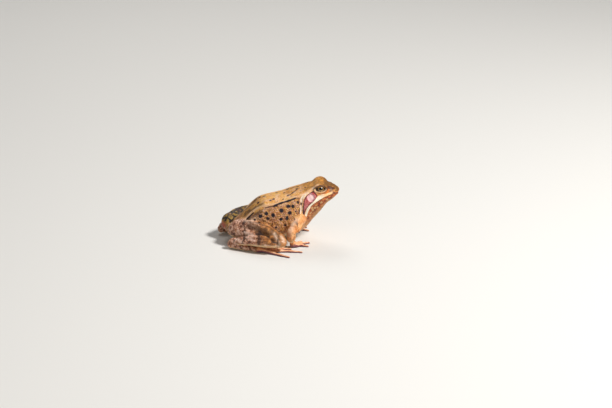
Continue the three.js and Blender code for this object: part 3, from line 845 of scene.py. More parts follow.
# Where the marks on the skin lie, in millimetres. Those given for the right side are on both.
marks = {
    # Black spots of the flank: x and z, half length and half height
    "flankSpots": [
        (24.5, 22.7, 1.15, 1.0),
        (28.7, 22.0, 1.15, 1.35),
        (34.3, 24.7, 1.35, 1.4),
        (38.9, 26.9, 1.35, 0.9),
        (41.8, 26.8, 1.0, 1.15),
        (39.5, 23.0, 1.3, 1.1),
        (37.8, 19.6, 0.95, 1.45),
        (33.8, 19.2, 1.1, 1.0),
        (25.4, 19.7, 1.1, 1.0),
        (20.7, 20.8, 1.3, 1.1),
        (36.6, 14.7, 0.8, 0.7),
        (45.5, 29.0, 0.75, 0.85),
        (47.8, 28.0, 0.6, 0.7),
        (30.6, 13.6, 0.7, 0.6),
        (20.0, 16.6, 0.8, 0.7),
        (28.2, 16.2, 0.5, 0.5),
        (31.6, 27.0, 0.45, 0.4),
        (43.6, 23.6, 0.5, 0.5),
        (42.6, 18.6, 0.4, 0.5),
        (17.2, 18.2, 0.6, 0.5),
    ],
    # Black spots of the back: x and y, radius
    "backSpots": [
        (38.1, 0.5, 0.75),
        (39.9, -5.3, 0.7),
        (30.3, -5.7, 0.85),
        (28.3, -6.3, 0.8),
        (46.0, -1.2, 0.65),
        (33.5, 4.8, 0.9),
        (25.2, 3.2, 0.8),
        (41.0, 6.8, 0.8),
        (20.6, -2.6, 0.7),
        (51.5, -4.6, 0.55),
        (36.2, -8.2, 0.5),
        (22.5, 5.5, 0.7),
        (53.4, 3.0, 0.5),
    ],
    # Black lines: under the fold of the back, on the rump, behind the head, and down the chest
    "underFold": [
        (24.0, -11.4, 25.5), (27.6, -11.9, 26.3), (29.9, -12.3, 26.8), (32.4, -11.9, 27.8),
        (35.8, -11.5, 28.8), (39.0, -11.4, 29.5), (41.7, -11.2, 30.3), (44.3, -11.1, 31.2),
        (47.2, -11.5, 31.0),
    ],
    "rumpStreak": [(12.0, -8.5, 17.0), (14.5, -8.8, 19.4), (17.0, -9.0, 21.8)],
    "chevron": [
        (47.6, -1.6, 35.0), (45.3, -3.2, 34.0), (43.2, -4.5, 32.9), (41.4, -5.4, 32.0),
        (39.0, -6.2, 31.2),
    ],
    "beaded": {"underFold": 0.6, "rumpStreak": 0.6, "chevron": 0.42},  # half widths of the uneven ones
    "chestLine": [
        (53.4, -11.6, 20.6), (53.0, -10.3, 17.1), (52.7, -8.9, 14.6), (52.0, -7.2, 11.9),
        (50.6, -5.8, 9.3),
    ],
    # The dark mask behind the eye, as an outline of x and z
    "cheek": [
        (57.1, 35.6), (55.0, 34.6), (52.8, 33.3), (51.1, 31.9), (50.2, 30.6), (49.7, 28.8), (49.4, 26.7),
        (49.2, 24.0), (49.1, 19.4), (50.5, 19.2), (50.9, 22.3), (51.8, 24.0), (53.5, 26.1), (55.2, 27.6),
        (57.0, 28.7), (58.6, 30.2), (59.4, 31.6), (59.6, 32.8), (58.6, 34.4),
    ],
    # Pale stripe over the upper lip, from the snout back
    "lipStripe": [
        (69.0, 33.5), (66.0, 33.1), (63.4, 32.6), (61.0, 31.4), (58.8, 29.4), (56.9, 27.9), (55.0, 26.3),
        (53.3, 24.4), (52.3, 22.3), (51.6, 19.4),
    ],
    "stripeWidths": [0.5, 0.7, 1.2, 1.55, 1.15, 1.0, 0.95, 0.95, 0.9, 0.7],  # at each point of lipStripe
    # Pale band behind the mask
    "behindCheek": [
        (57.6, 37.4), (54.6, 35.6), (51.8, 34.1), (49.7, 32.6), (48.5, 30.9), (48.0, 28.5), (47.7, 26.1),
        (47.5, 23.4), (47.4, 19.6),
    ],
    "behindWidths": ([0, 3, 5, 8], [0.3, 0.8, 0.8, 0.65]),  # points of behindCheek, and half widths there
    "behindLine": [(46.8, 24.9), (46.4, 23.3), (46.2, 19.8)],
    "snoutStripe": [(64.4, 36.6), (66.8, 36.5), (68.6, 36.1), (70.6, 35.8)],
    "lipCurl": [(69.0, 33.2), (69.9, 33.7), (71.0, 33.3), (70.4, 32.8)],
    "cheekRear": [
        (57.1, 35.5), (55.0, 34.6), (52.8, 33.3), (51.1, 31.9), (50.2, 30.6), (49.7, 28.8), (49.4, 26.7),
        (49.2, 24.0), (49.1, 20.0),
    ],
    # Pale spots of the lower jaw: x and z, radius
    "jawSpots": [
        (56.7, 22.9, 0.75),
        (57.9, 24.4, 0.6),
        (55.2, 20.6, 0.6),
        (58.9, 26.2, 0.35),
        (54.4, 18.6, 0.6),
        (59.6, 24.2, 0.5),
        (62.6, 27.8, 0.45),
        (65.8, 29.4, 0.4),
        (56.2, 24.6, 0.45),
    ],
    # Dark bars across the limbs: share of the limb's length, and half width
    "bars": {
        "thigh": [(0.3, 0.7)],
        "shank": [(0.72, 0.7), (0.9, 0.7)],
        "tarsus": [(0.35, 0.7), (0.75, 0.7)],
        "forearm": [(0.4, 0.45)],
        "upperArm": [(0.55, 0.35)],
    },
    # Patches, painted shade, purple brown and pale: a path and the half width round it
    "dusk": [
        ([(10.8, -13.0, 17.2), (14.4, -15.8, 17.3), (18.0, -17.9, 17.2), (21.7, -19.7, 17.0)], 0.9),
        (
            [
                (14.2, -17.3, 16.5),
                (16.5, -19.7, 15.9),
                (18.8, -22.2, 14.6),
                (21.4, -23.8, 14.0),
                (25.4, -26.0, 13.2),
            ],
            2.2,
        ),
        (
            [
                (20.6, -18.4, 17.3),
                (23.5, -20.6, 16.5),
                (26.4, -23.4, 15.4),
                (28.7, -25.6, 14.0),
                (30.8, -29.1, 11.8),
            ],
            0.6,
        ),
        ([(13.8, -9.6, 17.9), (17.6, -10.7, 20.9), (21.4, -11.9, 23.2)], 1.0),
        ([(12.4, -2.6, 19.7), (15.8, -4.5, 22.6), (19.4, -6.6, 24.8), (23.1, -8.2, 26.6)], 1.5),
        ([(19.1, -13.2, 19.0), (22.0, -14.7, 18.5), (25.3, -15.8, 16.9), (28.3, -16.2, 14.6)], 0.3),
        ([(20.2, -11.6, 22.4), (22.4, -11.8, 23.9)], -0.2),
    ],
    "purple": [
        ([(18.7, -23.1, 12.9), (18.4, -25.3, 11.0), (18.2, -27.4, 9.0), (18.1, -27.5, 6.4)], 1.1),
        ([(2.4, -9.8, 8.0), (4.3, -12.8, 9.9)], 0.6),
        ([(8.8, -18.6, 9.7), (10.9, -23.1, 8.5)], 0.6),
    ],
    # Pale patches of the legs, partly their own pale mottling and partly painted highlights
    "blush": [
        ([(10.8, -18.2, 11.5), (13.2, -19.9, 11.3), (14.9, -22.5, 10.8)], 0.8),
        ([(11.0, -22.2, 9.6), (13.4, -24.0, 9.4), (15.8, -26.1, 8.7)], 0.5),
        ([(6.1, -14.3, 11.8), (7.9, -15.5, 9.3)], 0.5),
        ([(3.7, -17.9, 8.4), (7.2, -21.4, 6.7)], 0.5),
        ([(21.8, -29.6, 7.2), (25.5, -30.9, 6.6), (29.9, -31.2, 5.7)], 0.35),
    ],
    # Pale patch over the rear of the lid and the temple, partly a painted highlight
    "temple": [(52.5, 10.2, 35.2), (56.6, 9.4, 37.0), (59.4, 8.6, 38.6)],
    "vent": ((-1.6, 5.0, 9.6), (1, 1.1, 0.8), 3.6),  # middle, how drawn out along x, y and z, and half width
    "knuckles": (0.45, 0.74),  # shares of a digit's length
    # Half widths of the other lines. Where there are two, each further point of the path adds the second.
    "widths": {
        "backFold": 1.0,
        "furrow": 1.0,
        "temple": 2.4,
        "behindLine": 0.26,
        "snoutStripe": 0.6,
        "lipCurl": 0.25,
        "chestLine": (0.75, -0.1),
        "cheekRear": (0.35, 0.07),
    },
    # Painted highlights where folds and edges catch the light: a path and a half width
    "light": [
        ([(43.5, -17.6, 18.4), (40.7, -18.4, 15.6), (39.0, -20.9, 12.5), (38.4, -21.0, 9.5)], 1.7),
        ([(17.0, -12.6, 18.4), (12.0, -11.5, 16.8)], 1.7),
        (
            [
                (28.2, -26.8, 13.3),
                (29.0, -29.2, 11.5),
                (30.1, -31.6, 9.5),
                (30.8, -32.1, 7.7),
                (30.2, -31.7, 6.6),
            ],
            1.0,
        ),
        ([(21.5, -29.3, 7.2), (23.8, -30.3, 7.0), (26.5, -31.0, 6.6), (29.2, -31.5, 6.2)], 0.8),
        ([(32.3, -29.2, 11.7), (33.2, -30.6, 10.7), (33.7, -31.5, 9.5)], 1.1),
    ],
    # Small dark specks all over: how far apart, the radius of the largest as a share of that, and how many of
    # the places have one
    "specks": {"spacing": 2.1, "radius": 0.17, "share": 0.42},
    "leftStray": (1.6, 1.1),  # how far the left flank's spots stray along x and z
}

# The places with both sides laid on the left one, and from the side
aside = np.abs(places[:, 1])
sideways = np.stack([places[:, 0], aside, places[:, 2]], 1)
profile = places[:, [0, 2]]
sideOf = np.sign(places[:, 1] + 1e-9)
rng = np.random.default_rng(7)
far = np.full(len(places), 60.0)
# How far each place is from each form, and where along and round that form it lies
gaps = {"trunk": trunkDistance(*places.T)}
shares = {}
angles = {}
for name, limb in parts:
    middle, reach = limb["middles"].mean(0), limb["sizes"].max() + 3
    span = np.abs(limb["middles"] - middle).max(0) + reach
    near = (np.abs(places - middle) < span).all(1)
    distance, share, angle = far.copy(), far * 0, far * 0
    distance[near], share[near], angle[near] = limbDistance(places[near], limb)
    better = distance < gaps.get(name, far)
    shares[name] = np.where(better, share, shares.get(name, far * 0))
    angles[name] = np.where(better, angle, angles.get(name, far * 0))
    gaps[name] = np.minimum(distance, gaps.get(name, far))


def belongs(names, soft=1.2):
    # 1 where one of these forms makes the skin, 0 where another does
    own = np.min([gaps[n] for n in names], axis=0)
    other = np.min([gaps[n] for n in gaps if n not in names], axis=0)
    return smoothStep(other - own, -soft, soft)


def patches(rows):
    # Distance to the nearest of these paths, less its half width
    result = far.copy()
    for path, half in rows:
        result = np.minimum(result, lineGap(legwise, mirrored(onSurface(path), right)) - half)
    return result


def limbLength(name):
    return next(limb["length"] for part, limb in parts if part == name)


def onlyOn(distance, share):
    # A mark's distance, carried off the skin where the share falls
    return distance + 3 * (1 - smoothStep(share, 0.15, 0.75))


widths = marks["widths"]
onTrunk = belongs(["trunk"], 1.6)
hind = belongs(["thigh", "shank", "tarsus", "toe"], 1.6)
# Both sides on the left one again, now with the left hind leg moved forward to where the right one lies
legwise = sideways - np.outer((sideOf > 0) * hind * limbs["leftLegBack"], (1, 0, 0))
fore = belongs(["upperArm", "forearm", "palm", "finger"], 1.8)
digits = belongs(["toe", "finger", "palm"], 1.0)
head = smoothStep(places[:, 0], 46, 54) * onTrunk
flankHigh = np.interp(places[:, 0], *np.array(folds["back"]["path"]).T)
lowJaw = np.interp(places[:, 0], mouthCurve[:, 0], mouthCurve[:, 1]) - places[:, 2]
mouthAt = lineGap(profile, mouthCurve) * np.sign(-lowJaw)
crownShift = 0.3 * np.maximum(places[:, 0] - 66, 0)
low = smoothStep(flankHigh - places[:, 2], -0.8, 1.6)
# Each becomes an attribute of the skin: a share from 0 to 1, a length, or a distance less than 0 in the mark.
values = {
    "head": head,
    "hind": hind,
    "fore": fore,
    "digits": digits,
    "flank": onTrunk * low * (1 - smoothStep(places[:, 0], 48, 53)),
    "jaw": head * smoothStep(-mouthAt, 0.0, 0.4),
    "under": smoothStep(-normals[:, 2], 0.1, 0.85),
    "top": smoothStep(normals[:, 2], -0.2, 0.9),
    "rump": onTrunk * (1 - smoothStep(places[:, 0] + 0.4 * np.abs(places[:, 1]), 14, 30)),
    "crown": smoothStep(normals[:, 2], 0.25, 0.8) * smoothStep(places[:, 2] + crownShift, 33.2, 35.4),
}

spots = far.copy()
for side in (right, left):
    for x, z, long, tall in marks["flankSpots"]:
        if side == left:
            x, z = x + rng.normal(0, marks["leftStray"][0]), z + rng.normal(0, marks["leftStray"][1])
        middle, _ = flankPoint(x, z, side)
        rel = (places - middle) / (long, 1.3, tall)
        spots = np.minimum(spots, (np.linalg.norm(rel, axis=1) - 1) * min(long, tall))
upward = onTrunk * smoothStep(normals[:, 2], 0.1, 0.5)
for x, y, radius in marks["backSpots"]:
    spots = np.minimum(spots, onlyOn(np.hypot(places[:, 0] - x, places[:, 1] - y) - radius, upward))
for name, width in marks["beaded"].items():
    path = mirrored(marks[name], right)
    gap, reached = nearestOnLine(sideways, path)
    taper = 1 - 0.6 * np.abs(2 * reached / (len(path) - 1) - 1) ** 3
    beads = 1 + 0.3 * np.sin(reached * 3.1 + 0.7) * np.sin(reached * 1.3 + sideOf)
    spots = np.minimum(spots, gap - width * taper * beads)
gap = lineGap(profile, marks["behindLine"]) - widths["behindLine"]
values["spots"] = np.minimum(spots, onlyOn(gap, onTrunk))

bars = far.copy()
for name, rows in marks["bars"].items():
    own = belongs([name], 0.9)
    length = limbLength(name)
    lean = np.radians(angles[name] - 60) * 1.6  # the bars slant over the top
    for share, half in rows:
        reach = half * (1 - smoothStep(np.abs(angles[name] - 62), 45, 105))
        gap = np.abs((shares[name] - share) * length + lean) - reach
        bars = np.minimum(bars, onlyOn(np.where(reach > 0.05, gap, 9), own))
gap, reached = nearestOnLine(sideways, mirrored(marks["chestLine"], right))
values["bars"] = np.minimum(bars, gap - widths["chestLine"][0] - widths["chestLine"][1] * reached)

cheek = areaDistance(profile, marks["cheek"])
onHead = belongs(["trunk"], 1.5)
values["cheek"] = onlyOn(cheek, onHead)
values["cheekHigh"] = smoothStep(places[:, 2] + 0.7 * (places[:, 0] - 55), 22, 37)
gap, reached = nearestOnLine(profile, marks["lipStripe"])
gap = gap - np.interp(reached, range(10), marks["stripeWidths"])
gap = np.where(places[:, 0] > mouth["corner"], np.maximum(gap, (0.12 - mouthAt) * 1.2), gap)
values["lipStripe"] = onlyOn(gap, onHead)
values["stripeAlong"] = reached / (len(marks["lipStripe"]) - 1)
gap, reached = nearestOnLine(profile, marks["behindCheek"])
behind = gap - np.interp(reached, *marks["behindWidths"])
behind = onlyOn(behind, onHead * smoothStep(aside, 5.5, 8.5))
values["behind"] = behind + 1.1 * smoothStep(normals[:, 2], 0.66, 0.95)  # it doesn't reach over the crown
values["pale"] = np.min([lineGap(places, limb["middles"]) for limb in backFolds], axis=0) - widths["backFold"]
rows = [bell(lineGap(legwise, mirrored(path, right)), width) for path, width in marks["light"]]
values["light"] = np.max(rows, axis=0)
for name in ("dusk", "purple", "blush"):
    values[name] = patches(marks[name])
values["furrow"] = np.max([bell(lineGap(places, path), widths["furrow"]) for path in furrows], axis=0)
values["temple"] = bell(lineGap(sideways, marks["temple"]), widths["temple"]) * onTrunk
stripe, curl = (lineGap(profile, marks[name]) - widths[name] for name in ("snoutStripe", "lipCurl"))
values["snoutStripe"] = onlyOn(np.minimum(stripe, curl), smoothStep(aside, 2.2, 5.2))
gap, reached = nearestOnLine(profile, marks["cheekRear"])
values["cheekRear"] = np.maximum(gap - widths["cheekRear"][0] - widths["cheekRear"][1] * reached, cheek)
jawSpots = far.copy()
for x, z, radius in marks["jawSpots"]:
    jawSpots = np.minimum(jawSpots, np.hypot(places[:, 0] - x, places[:, 2] - z) - radius)
values["jawSpots"] = onlyOn(jawSpots, smoothStep(aside, 3.5, 6))
ears, nostrils, lids, balls = (far.copy() for _ in range(4))
lidHigh = far * 0
for side in (right, left):
    seat, _ = flankPoint(*eardrum["at"], side)
    ears = np.minimum(ears, np.linalg.norm(places - seat, axis=1))
    nostrils = np.minimum(nostrils, nostrilDistance(places, side))
    ball, gap, high = lidPlaces(places, side)
    lids = np.minimum(lids, np.where(places[:, 1] * side > 4, gap, 9))
    lidHigh = np.where(ball < 3, high, lidHigh)
    balls = np.minimum(balls, ball)
values["ear"] = ears
values["nostril"] = nostrils
values["lids"] = np.where(balls < 2.5, lids, 9)
values["lidHigh"] = lidHigh
rearThigh = belongs(["thigh"], 1.6) * smoothStep(22 - places[:, 0], 0, 8)
values["net"] = rearThigh * np.where(sideOf > 0, 1.0, smoothStep(6.5 - aside, 0, 4))
rear = belongs(["thigh", "shank", "tarsus"], 1.6) * smoothStep(24 - places[:, 0], 0, 12)
values["mottle"] = rear * np.where(sideOf > 0, smoothStep(10 - places[:, 2], -2, 3), 1.0)
middle, drawn, width = marks["vent"]
values["vent"] = bell(np.linalg.norm((places - middle) / drawn, axis=1), width) * (sideOf > 0)
values["snout"] = smoothStep(places[:, 0], 59, 67) * head
values["mouth"] = np.where(places[:, 0] > mouth["corner"], np.abs(mouthAt), 9)
values.update({key: far * 0 for key in ("along", "around", "joint")})
for name in ("thigh", "shank", "tarsus", "upperArm", "forearm"):
    own = belongs([name], 0.6) > 0.5
    length = limbLength(name)
    values["along"] += np.where(own, shares[name] * length, 0)
    values["around"] += np.where(own, np.radians(angles[name]) * 4, 0)
    values["joint"] += np.where(own, bell(shares[name], 0.16) + bell(1 - shares[name], 0.16), 0)
knuckles = [bell(shares[n] - at, 0.05) for n in ("toe", "finger") for at in marks["knuckles"]]
values["knuckle"] = np.max(knuckles, axis=0) * digits
near = [bell(ears, 3.6), bell(balls, 1.6), bell(mouthAt, 1.2) * head]  # no warts near these
calm = np.maximum.reduce([digits, *near, values["under"]])
values["warts"] = np.clip(1 - calm, 0, 1) * (1 - 0.6 * head) * (1 - 0.4 * np.maximum(fore, hind))
print("marks placed")


def turnHead(xyz):
    start, full, angle = trunk["headTurn"]
    x, y = xyz[:, 0], xyz[:, 1]
    share = np.clip((x - start) / (full - start), 0, 1)
    drift = math.tan(angle) * ((full - start) / 2 * share**2 + np.maximum(0, x - full))
    return np.stack([x + y * np.sin(angle * share), y * np.cos(angle * share) - drift, xyz[:, 2]], 1)


# The part's own frame has its origin under the middle of the whole frog.
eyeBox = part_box("eye_right")
solidEye = np.array((eyeBox[0] + eyeBox[1]) / 2) * 1000
plainEye = turnHead(mirrored([eye["middle"]], right))[0]
originShift = solidEye - plainEye


def toFrame(xyz):
    return (turnHead(xyz) + originShift) / 1000


def newMesh(name, vertices, faces, attributes=None, material=None):
    # A face of three corners may come as four with one named twice.
    mesh = bpy.data.meshes.new(name)
    corners = [list(dict.fromkeys(face)) for face in np.asarray(faces).tolist()]
    mesh.from_pydata(np.asarray(vertices, float).tolist(), [], corners)
    mesh.polygons.foreach_set("use_smooth", np.ones(len(corners), bool))
    mesh.validate()
    for key, value in (attributes or {}).items():
        mesh.attributes.new(key, "FLOAT", "POINT").data.foreach_set("value", value.astype(np.float32))
    if material:
        mesh.materials.append(material)
    piece = bpy.data.objects.new(name, mesh)
    bpy.context.scene.collection.objects.link(piece)
    return piece


def colour(red, green, blue):
    # 0 to 255 as seen on a screen, to the linear values that Blender uses
    def linear(v):
        v /= 255
        return v / 12.92 if v <= 0.04045 else ((v + 0.055) / 1.055) ** 2.4

    return (linear(red), linear(green), linear(blue), 1.0)


class Maths:
    # A number socket that can be written in a sum
    def __init__(self, maker, socket):
        self.maker = maker
        self.socket = socket

    def make(self, operation, *others):
        return self.maker.maths(operation, self, *others)

    def __add__(self, other):
        return self.make("ADD", other)

    def __sub__(self, other):
        return self.make("SUBTRACT", other)

    def __mul__(self, other):
        return self.make("MULTIPLY", other)

    def __truediv__(self, other):
        return self.make("DIVIDE", other)

    def __rsub__(self, other):
        return self.maker.maths("SUBTRACT", other, self)

    def __rtruediv__(self, other):
        return self.maker.maths("DIVIDE", other, self)

    __radd__ = __add__
    __rmul__ = __mul__

    def step(self, low, high):
        # 0 at low, 1 at high, smooth between them
        settings = {"interpolation_type": "SMOOTHSTEP"}
        inputs = {"Value": self, "From Min": low, "From Max": high}
        return Maths(self.maker, self.maker.node("ShaderNodeMapRange", settings, inputs).outputs[0])


class Nodes:
    # The nodes of a material or of a geometry tree
    def __init__(self, tree):
        self.tree = tree

    def node(self, kind, settings=None, inputs=None):
        made = self.tree.nodes.new(kind)
        for key, value in (settings or {}).items():
            if key == "stops":
                self.setStops(made.color_ramp, value)
            else:
                setattr(made, key, value)
        for key, value in (inputs or {}).items():
            socket = made.inputs[key]
            value = value.socket if isinstance(value, Maths) else value
            if isinstance(value, bpy.types.NodeSocket):
                self.tree.links.new(value, socket)
            else:
                socket.default_value = value
        return made

    def setStops(self, ramp, stops):
        while len(ramp.elements) < len(stops):
            ramp.elements.new(1.0)
        for element, (position, shade) in zip(ramp.elements, stops):
            element.position = position
            element.color = shade

    def number(self, socket):
        return Maths(self, socket)

    def maths(self, operation, *terms):
        made = self.node("ShaderNodeMath", {"operation": operation}, dict(enumerate(terms)))
        return self.number(made.outputs[0])

    def vector(self, operation, first, second):
        inputs = {0: first, "Scale" if operation == "SCALE" else 1: second}
        return self.node("ShaderNodeVectorMath", {"operation": operation}, inputs).outputs[0]


class Finish(Nodes):
    # A material, the marks that it reads from the mesh, and the patterns that it is made of
    def __init__(self, name):
        self.material = bpy.data.materials.new(name)
        self.material.use_nodes = True
        super().__init__(self.material.node_tree)
        self.tree.nodes.clear()
        self.place = None
        self.marks = {}

    def read(self, name):
        if name not in self.marks:
            made = self.node("ShaderNodeAttribute", {"attribute_name": name})
            self.marks[name] = self.number(made.outputs["Fac"])
        return self.marks[name]

    def millimetres(self):
        if self.place is None:
            self.place = self.vector("SCALE", self.node("ShaderNodeTexCoord").outputs["Object"], 1000.0)
        return self.place

    def shifted(self, x, y, z):
        return self.vector("ADD", self.millimetres(), (x, y, z))

    def warped(self, size, amount):
        # The place, moved about by noise so that patterns laid on it turn irregular
        inputs = {"Vector": self.millimetres(), "Scale": 1 / size, "Detail": 1.0}
        moves = self.node("ShaderNodeTexNoise", None, inputs).outputs["Color"]
        moves = self.vector("SCALE", self.vector("SUBTRACT", moves, (0.5, 0.5, 0.5)), amount)
        return self.vector("ADD", self.millimetres(), moves)

    def combined(self, x, y, z=0.0):
        return self.node("ShaderNodeCombineXYZ", None, {0: x, 1: y, 2: z}).outputs[0]

    def noise(self, size, detail=3.0, roughness=0.55, vector=None):
        # Soft noise whose lumps are about size millimetres across
        inputs = {
            "Vector": vector or self.millimetres(),
            "Scale": 1 / size,
            "Detail": detail,
            "Roughness": roughness,
        }
        return self.number(self.node("ShaderNodeTexNoise", None, inputs).outputs[0])

    def cells(self, size, vector, feature="F1"):
        inputs = {"Vector": vector, "Scale": 1 / size}
        return self.node("ShaderNodeTexVoronoi", {"feature": feature}, inputs).outputs

    def channel(self, shade, index):
        return self.number(self.node("ShaderNodeSeparateColor", None, {0: shade}).outputs[index])

    def mix(self, a, b, share):
        return self.node("ShaderNodeMix", {"data_type": "RGBA"}, {0: share, 6: a, 7: b}).outputs[2]

    def ramp(self, value, stops):
        return self.node("ShaderNodeValToRGB", {"stops": stops}, {0: value}).outputs[0]

    def bump(self, strength, distance, height):
        inputs = {"Strength": strength, "Distance": distance, "Height": height}
        return self.node("ShaderNodeBump", None, inputs).outputs[0]

    def close(self, inputs):
        shader = self.node("ShaderNodeBsdfPrincipled", None, inputs)
        self.node("ShaderNodeOutputMaterial", None, {0: shader.outputs[0]})
        return self.material


skinLook = {
    "back": [colour(184, 116, 42), colour(232, 160, 68), colour(246, 190, 104)],
    "backPink": colour(246, 208, 172),
    "rump": [colour(104, 76, 34), colour(200, 142, 68)],
    "granules": [colour(240, 188, 100), colour(226, 146, 78), colour(236, 188, 160)],
    "granuleGap": colour(134, 72, 44),
    "crown": [colour(104, 72, 24), colour(206, 138, 50)],
    "temple": colour(246, 194, 146),
    "snout": [colour(146, 64, 20), colour(212, 122, 46)],
    "cream": colour(255, 240, 216),
    "lip": colour(248, 190, 128),
    "jawSpot": colour(222, 180, 124),
    "orange": colour(230, 146, 68),
    "peach": colour(250, 206, 162),
    "cheek": [colour(176, 84, 76), colour(196, 78, 66), colour(200, 68, 50)],
    "cheekInner": colour(232, 150, 150),
    "cheekEdge": colour(54, 12, 28),
    "snoutDark": colour(74, 30, 20),
    "snoutTop": colour(84, 56, 22),
    "drum": [colour(234, 202, 196), colour(226, 166, 164), colour(172, 84, 96)],
    "jaw": [colour(84, 28, 18), colour(164, 74, 36), colour(212, 138, 76)],
    "jawTop": colour(196, 106, 62),
    "throat": colour(192, 134, 72),
    "belly": [colour(242, 216, 172), colour(222, 158, 92)],
    "arm": [colour(200, 116, 54), colour(230, 152, 84), colour(244, 186, 126)],
    "leg": [colour(84, 52, 24), colour(172, 108, 52), colour(224, 152, 84)],
    "mottle": [colour(52, 30, 34), colour(170, 108, 80), colour(242, 198, 174)],
    "light": colour(255, 220, 190),
    "blush": colour(246, 208, 186),
    "behind": colour(252, 232, 206),
    "netGround": [colour(104, 80, 34), colour(176, 142, 66)],
    "netLineAndShade": colour(34, 24, 20),
    "vent": colour(176, 58, 26),
    "toe": [colour(232, 150, 96), colour(246, 192, 148)],
    "toeShade": colour(124, 62, 82),
    "knuckle": colour(250, 214, 176),
    "spot": colour(20, 14, 24),
    "spotEdge": colour(104, 54, 44),
    "bar": colour(66, 40, 34),
    "dusk": colour(58, 42, 20),
    "lidUpperShade": colour(70, 42, 22),
    "lidLower": colour(222, 186, 142),
    "creaseShade": colour(92, 44, 30),
    "roughness": 0.47,
    "coat": 0.14,
}


# How noise spreads the tones of each part: shares of the broad, the middling and the fine noise, and where
# each tone stands. Parts without shares are spread in a way of their own.
skinTones = {
    "back": ((0.3, 0.5, 0.2), (0.38, 0.49, 0.58)),
    "rump": ((0, 0.6, 0.4), (0.38, 0.6)),
    "granules": (None, (0.3, 0.5, 0.68)),
    "arm": ((0.2, 0.55, 0.25), (0.36, 0.48, 0.6)),
    "leg": ((0.3, 0.45, 0.25), (0.37, 0.49, 0.61)),
    "mottle": (None, (0.4, 0.48, 0.58)),
    "netGround": ((0, 0.6, 0.4), (0.38, 0.6)),
    "crown": ((0, 0.5, 0.5), (0.38, 0.6)),
    "snout": ((0, 0.5, 0.5), (0.4, 0.58)),
    "jaw": ((0, 0.55, 0.45), (0.41, 0.49, 0.58)),
    "belly": ((0, 0.6, 0.4), (0.46, 0.62)),
    "toe": ((0, 0.5, 0.5), (0.4, 0.6)),
    "cheek": (None, (0.15, 0.5, 0.85)),
    "drum": (None, (0.25, 0.52, 0.8)),
}
# The edges of the marks: how far patches and fine noise shift them in millimetres, the distance at which a
# mark starts and the one at which it is full, and its strength there
skinEdges = {
    "vent": (0, 0.3, 0.3, 0.9, 0.85),
    "dusk": (2.6, 1.6, 0.9, -0.6, 0.62),
    "bars": (4.4, 0.7, 0.4, -0.5, 0.76),
    "purple": (3.6, 1.2, 0.5, -0.5, 0.85),
    "blush": (5.0, 1.6, 0.6, -0.5, 0.85),
    "furrow": (0, 0.4, 0.35, 0.95, 0.8),
    "jawSpots": (2.6, 2.2, 0.35, -0.4, 0.85),
    "pale": (1.2, 1.2, 0.45, -0.4, 0.9),
    "behind": (2.6, 1.2, 0.6, -0.45, 0.9),
    "cheekRear": (0, 0.7, 0.35, -0.25, 0.95),
    "lipStripe": (0.6, 0.6, 0.26, -0.26, 1.0),
    "snoutStripe": (0, 1.0, 0.35, -0.3, 0.8),
    "nostril": (0, 0.15, 0.16, -0.16, 0.85),
}


